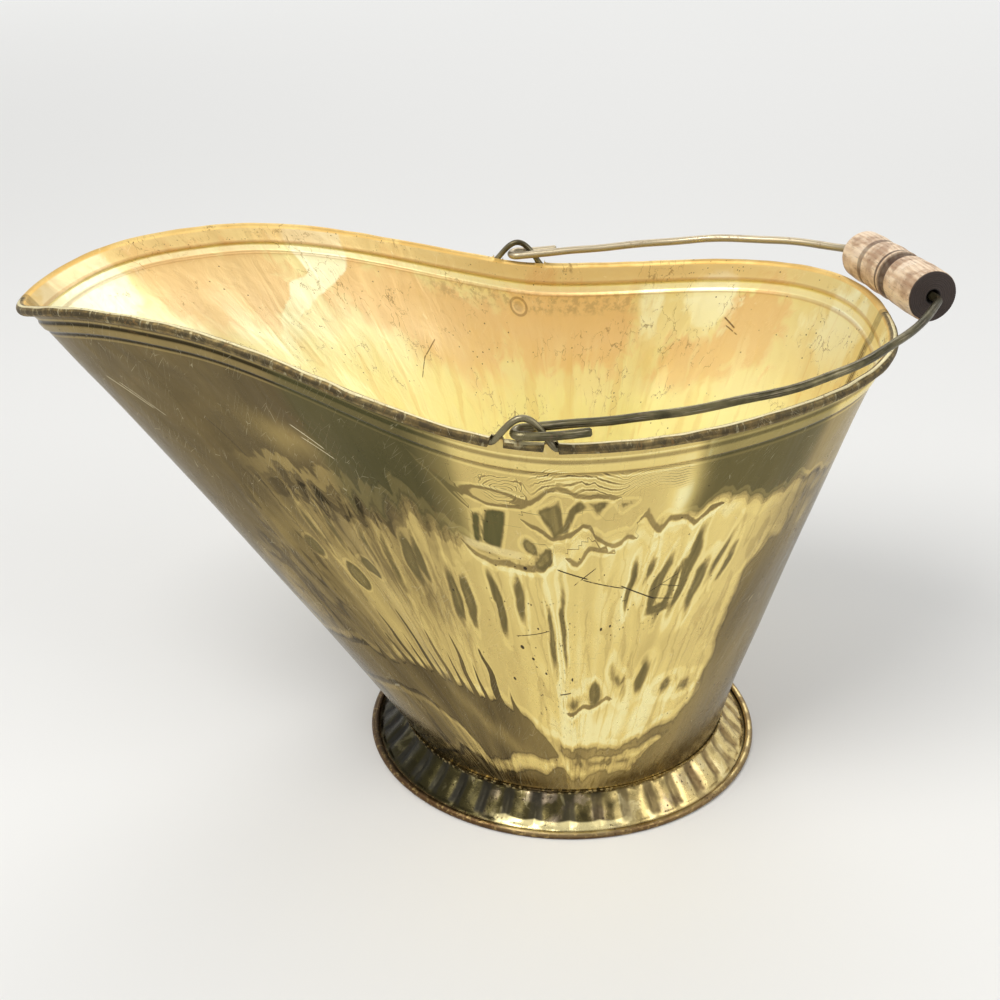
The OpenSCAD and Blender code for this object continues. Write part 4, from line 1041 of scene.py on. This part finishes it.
def foot_brass():
    """Crimped brass with painted light and shade: dark at the lip's side, greyer in the middle, bright gold at the
    rear, with painted highlights on the ribs and painted shade in the deep dark flutes.
    """
    p = Paint("foot_brass_finish", metallic=0.92)
    x, y, z = p.parts(p.place())
    flute = p.mark("flute")
    spot = p.noise(p.place(), 48, 4, 0.6, 0.4)
    fine = p.noise(p.place(), 420, 4, 0.65)
    streak = p.noise(p.point(x * 105, y * 105, z * 30), 1, 3, 0.55, 0.5)
    high = z * TO_MM
    # painted light across the foot: darker towards the lip, brighter towards the rear; ribs lit, folds in painted
    # shade
    side = x * 4.7 + 0.5 + (spot - 0.5) * 0.45
    ribs = p.shades(side, (0.05, (46, 42, 20)), (0.30, (60, 54, 30)), (0.52, (80, 71, 41)), (0.72, (192, 170, 112)),
                    (1, (240, 217, 150)))
    folds = p.shades(side, (0.05, (20, 18, 10)), (0.50, (36, 32, 18)), (0.74, (88, 70, 40)), (1, (128, 100, 58)))
    grey = spot.ramp(0.50, 0.62) * window(x, -0.02, 0.055, 0.03)
    band = (flute + (streak - 0.5) * 0.35).ramp(0.20, 0.52) * high.ramp(2.6, 4.4) * high.ramp(17.2, 15.6)
    flange = window(high, 2.4, 4.6, 0.9) * window(x + (spot - 0.5) * 0.04, -0.028, 0.022, 0.012)
    seam = high.ramp(15.4, 16.6)
    crumbs = seam * p.cells(p.place(), 420).ramp(0.48, 0.30)
    low = high.ramp(4.4, 3) * (x * x + y * y).ramp(0.01050, 0.01085)
    specks = p.cells(p.place(), 330).ramp(0.22, 0.11) * spot.ramp(0.44, 0.58)
    # painted shade and highlights in streaks, painted shade in the flutes and a painted highlight on the flange
    gold = p.coats(ribs,
        (streak.ramp(0.50, 0.60) * 0.45, folds),
        (streak.ramp(0.42, 0.34) * 0.55 * side.least(1), (250, 234, 178)), (grey * 0.55, (150, 134, 116)),
        ((band * (0.30 + spot.ramp(0.40, 0.62) * 0.45 + fine * 0.4)).least(0.96), folds),
        (flange * 0.65, (250, 234, 172)), (seam * (fine.ramp(0.36, 0.60) * 0.6), (112, 92, 54)),
        (crumbs * 0.85, (226, 206, 150)), (low * 0.85, (98, 72, 46)),
        (low * fine.ramp(0.52, 0.66) * 0.6, (186, 160, 104)), (specks * 0.8, (50, 36, 24)))
    rough = 0.28 + (fine - 0.5) * 0.28 + band * 0.22 + low * 0.12
    normal = p.bump((spot - 0.5) * 0.8, 0.0006, 0.5)
    normal = p.bump(fine - specks * 0.8 + crumbs * 1.5, 0.00018, 0.6, normal)
    return p.finish(gold, rough.most(0.2).least(0.85), normal, 0.92 - band * 0.25)


def pan_brass():
    """The bottom inside: dull yellow brass, darker towards its edge, with scuffs."""
    p = Paint("pan_brass_finish", metallic=0.9)
    x, y, _ = p.parts(p.place())
    far_out = (x * x + y * y) ** 0.5
    spot = p.noise(p.place(), 40, 5, 0.6, 0.5)
    fine = p.noise(p.place(), 380, 4, 0.65)
    scuff = p.cells(p.point(x * 160, y * 22, spot), 1, "DISTANCE_TO_EDGE").ramp(0.02, 0.004)
    base = p.coats((214, 190, 108),
        (spot.ramp(0.40, 0.66), (178, 140, 78)),
        (far_out.ramp(0.070, 0.088) * (0.4 + fine * 0.6), (92, 72, 42)), (scuff * 0.35, (100, 82, 50)))
    rough = 0.40 + (fine - 0.5) * 0.3 + (spot - 0.5) * 0.2
    normal = p.bump(spot * 0.8 + fine * 0.08 - scuff * 0.05, 0.0007, 0.5)
    return p.finish(base, rough.most(0.25).least(0.8), normal, 0.9 - scuff * 0.2)


def wire_iron(name, dark, light, rust_share, far_leg_highlight=False):
    """Drawn iron wire: lengthways die lines, handled bright places and rust in specks."""
    p = Paint(name, metallic=0.8)
    u, v, _ = p.parts(p.unwrapped())
    along = p.noise(p.point(u * 60, v * 2200, 0), 1, 4, 0.6)
    worn = p.noise(p.place(), 38, 4, 0.6, 0.3)
    fine = p.noise(p.place(), 700, 3, 0.6)
    base = p.blend(worn.ramp(0.36, 0.66), dark, light)
    # painted highlight: the far leg, beyond the middle, is painted paler
    if far_leg_highlight:
        base = p.blend(p.parts(p.place())[1].ramp(-0.02, 0.10) * 0.85, base, (186, 172, 144))
    rust = fine.ramp(0.52, 0.66) * p.noise(p.place(), 90, 4, 0.6).ramp(0.50, 0.64)
    base = p.coats(base, (along.ramp(0.52, 0.70) * 0.5, (176, 164, 142)), (rust * rust_share, (96, 58, 36)))
    rough = 0.36 + (fine - 0.5) * 0.3 + rust * 0.25 - worn.ramp(0.5, 0.7) * 0.1
    normal = p.bump(along * 0.6 + fine * 0.5 + rust * 0.5, 0.00014, 0.7)
    return p.finish(base, rough.most(0.25).least(0.9), normal, 0.82 - rust * 0.5)


def grip_wood():
    """Turned beech worn nearly bare: rings about an axis beside the bore, pores, darker grooves, pale high places."""
    p = Paint("grip_wood_finish", specular=0.4)
    spot = p.mark("turned", True)
    along, across, over = p.parts(spot)
    bend = p.noise(p.point(along * 14, across * 50, over * 50), 1)
    ring_r = ((across + 0.022) ** 2 + (over - 0.009) ** 2) ** 0.5
    rings = (ring_r * 2600 + bend * 5).wave() * 0.5 + 0.5
    fibre = p.noise(p.point(along * 45, across * 900, over * 900), 1, 4, 0.6)
    pores = p.noise(p.point(along * 160, across * 2600, over * 2600), 1, 2)
    blotch = p.noise(spot, 75, 4, 0.6, 0.5)
    out = (across * across + over * over) ** 0.5
    place = along * TO_MM
    groove = window(place, 28.2, 33.6, 1.1)
    second = window(place, 36.6, 37.6, 0.6) + window(place, 53.4, 56.2, 1) * 0.7
    end = place.ramp(1, 0.4) + place.ramp(74, 74.7)
    saw = (out * 6200 + bend * 2).wave() * 0.5 + 0.5
    face = p.blend(saw * 0.5 + (fibre - 0.5) * 0.5, (58, 46, 40), (28, 22, 20))
    # painted highlight on the ridge beside the deep groove, and painted shade down the bore
    base = p.coats((240, 216, 184),
        (rings * 0.55 + (fibre - 0.5) * 0.7, (198, 160, 124)), (blotch.ramp(0.44, 0.62) * 0.66, (152, 114, 86)),
        (blotch.ramp(0.46, 0.32) * 0.6, (244, 224, 200)),
        ((groove + second).least(1) * (0.62 + blotch * 0.4), (52, 32, 24)),
        (window(place, 34.6, 35.9, 0.5) * 0.6, (214, 184, 150)), (end, face),
        (pores.ramp(0.60, 0.70) * (1 - end) * 0.55, (70, 44, 32)), ((out * TO_MM).ramp(4.4, 3.5), (16, 12, 10)))
    rough = 0.58 + (blotch - 0.5) * 0.3 + groove * 0.15 + end * 0.15
    normal = p.bump(rings * 0.25 + fibre * 0.9 - pores.ramp(0.60, 0.72) * 0.8 + saw * end * 0.8, 0.00022, 0.6)
    return p.finish(base, rough.most(0.35).least(0.95), normal)


FLOOR_HALF = 9000.0


def studio():
    """A plain pale floor, three soft lamps and a pale surround that metal reflects too.

    Far from the object the floor glows for the rays that see the surround, so the two meet without a line."""
    corners = np.array([[-1, -1, 0], [1, -1, 0], [1, 1, 0], [-1, 1, 0]]) * FLOOR_HALF
    floor = mesh_piece("floor", corners, [np.array([[0, 1, 2, 3]])])
    p = Paint("floor_finish", specular=0.2)
    x, y, _ = p.parts(p.place())
    glow = ((x * x + y * y) ** 0.5).ramp(0.9, 3.4) * p.seen()
    p.join(p.shader.inputs["Emission Color"], p.blend(glow, (0, 0, 0, 1), (0.50, 0.50, 0.49, 1)))
    p.shader.inputs["Emission Strength"].default_value = 1.0
    floor.data.materials.append(p.finish((236, 235, 232), 0.8))
    softbox("key_lamp", (-0.9, -0.9, 1.9), (-0.05, 0.0, 0.12), (1.1, 1.1), 29.0, (1.0, 0.99, 0.97))
    softbox("fill_lamp", (1.6, -0.9, 1.2), (0.0, 0.0, 0.12), (1.2, 1.2), 11.5, (0.98, 0.99, 1.0))
    softbox("back_lamp", (0.3, 1.6, 1.7), (0.0, 0.0, 0.15), (1.4, 0.9), 12.5)
    world = bpy.data.worlds.new("surround")
    bpy.context.scene.world = world
    world.use_nodes = True
    sky = Nodes(world.node_tree)
    light = sky.node("Background", {}, (0.95, 0.97, 1.0, 1.0), 0.43)[0]
    shown = sky.node("Background", {}, (0.86, 0.86, 0.85, 1.0), 1.0)[0]
    sky.node("OutputWorld", {}, sky.node("MixShader", {}, sky.seen(), light, shown)[0])
    bpy.context.scene.view_settings.view_transform = "Standard"


# ---------------------------------------------------------------- putting it together

def put(piece, body, slot, finish, *nodes):
    """Give a piece its finish and body, and let it stand for its CAD nodes."""
    piece.data.materials.clear()
    piece.data.materials.append(finish)
    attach(piece, body)
    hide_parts(*nodes)


def dress(node, finish):
    """Give a CAD node that stays its finish."""
    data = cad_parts[node].data
    data.materials.clear()
    data.materials.append(finish)


place_camera()
studio()
put(body_sheet(-1), "scuttle", "body_brass", sheet_brass("near_sheet_finish", 1, 1.0, True), "side_panel_near")
put(body_sheet(1), "scuttle", "body_brass", sheet_brass("far_sheet_finish", 2, 0.25, False), "side_panel_far")
put(rim_wire(), "scuttle", "iron_wire", wire_iron("rim_wire_finish", (66, 60, 42), (124, 116, 88), 0.6), "rim_wire")
put(crimped_foot(), "scuttle", "foot_brass", foot_brass(), "foot_skirt")
put(bail(), "bail", "bail_wire", wire_iron("bail_wire_finish", (60, 56, 36), (112, 104, 74), 0.5, True), "bail")
put(wooden_grip(), "grip", "grip_wood", grip_wood(), "grip")
dress("bottom_pan", pan_brass())
dress("foot_wire", wire_iron("foot_wire_finish", (70, 62, 50), (110, 98, 80), 0.7))
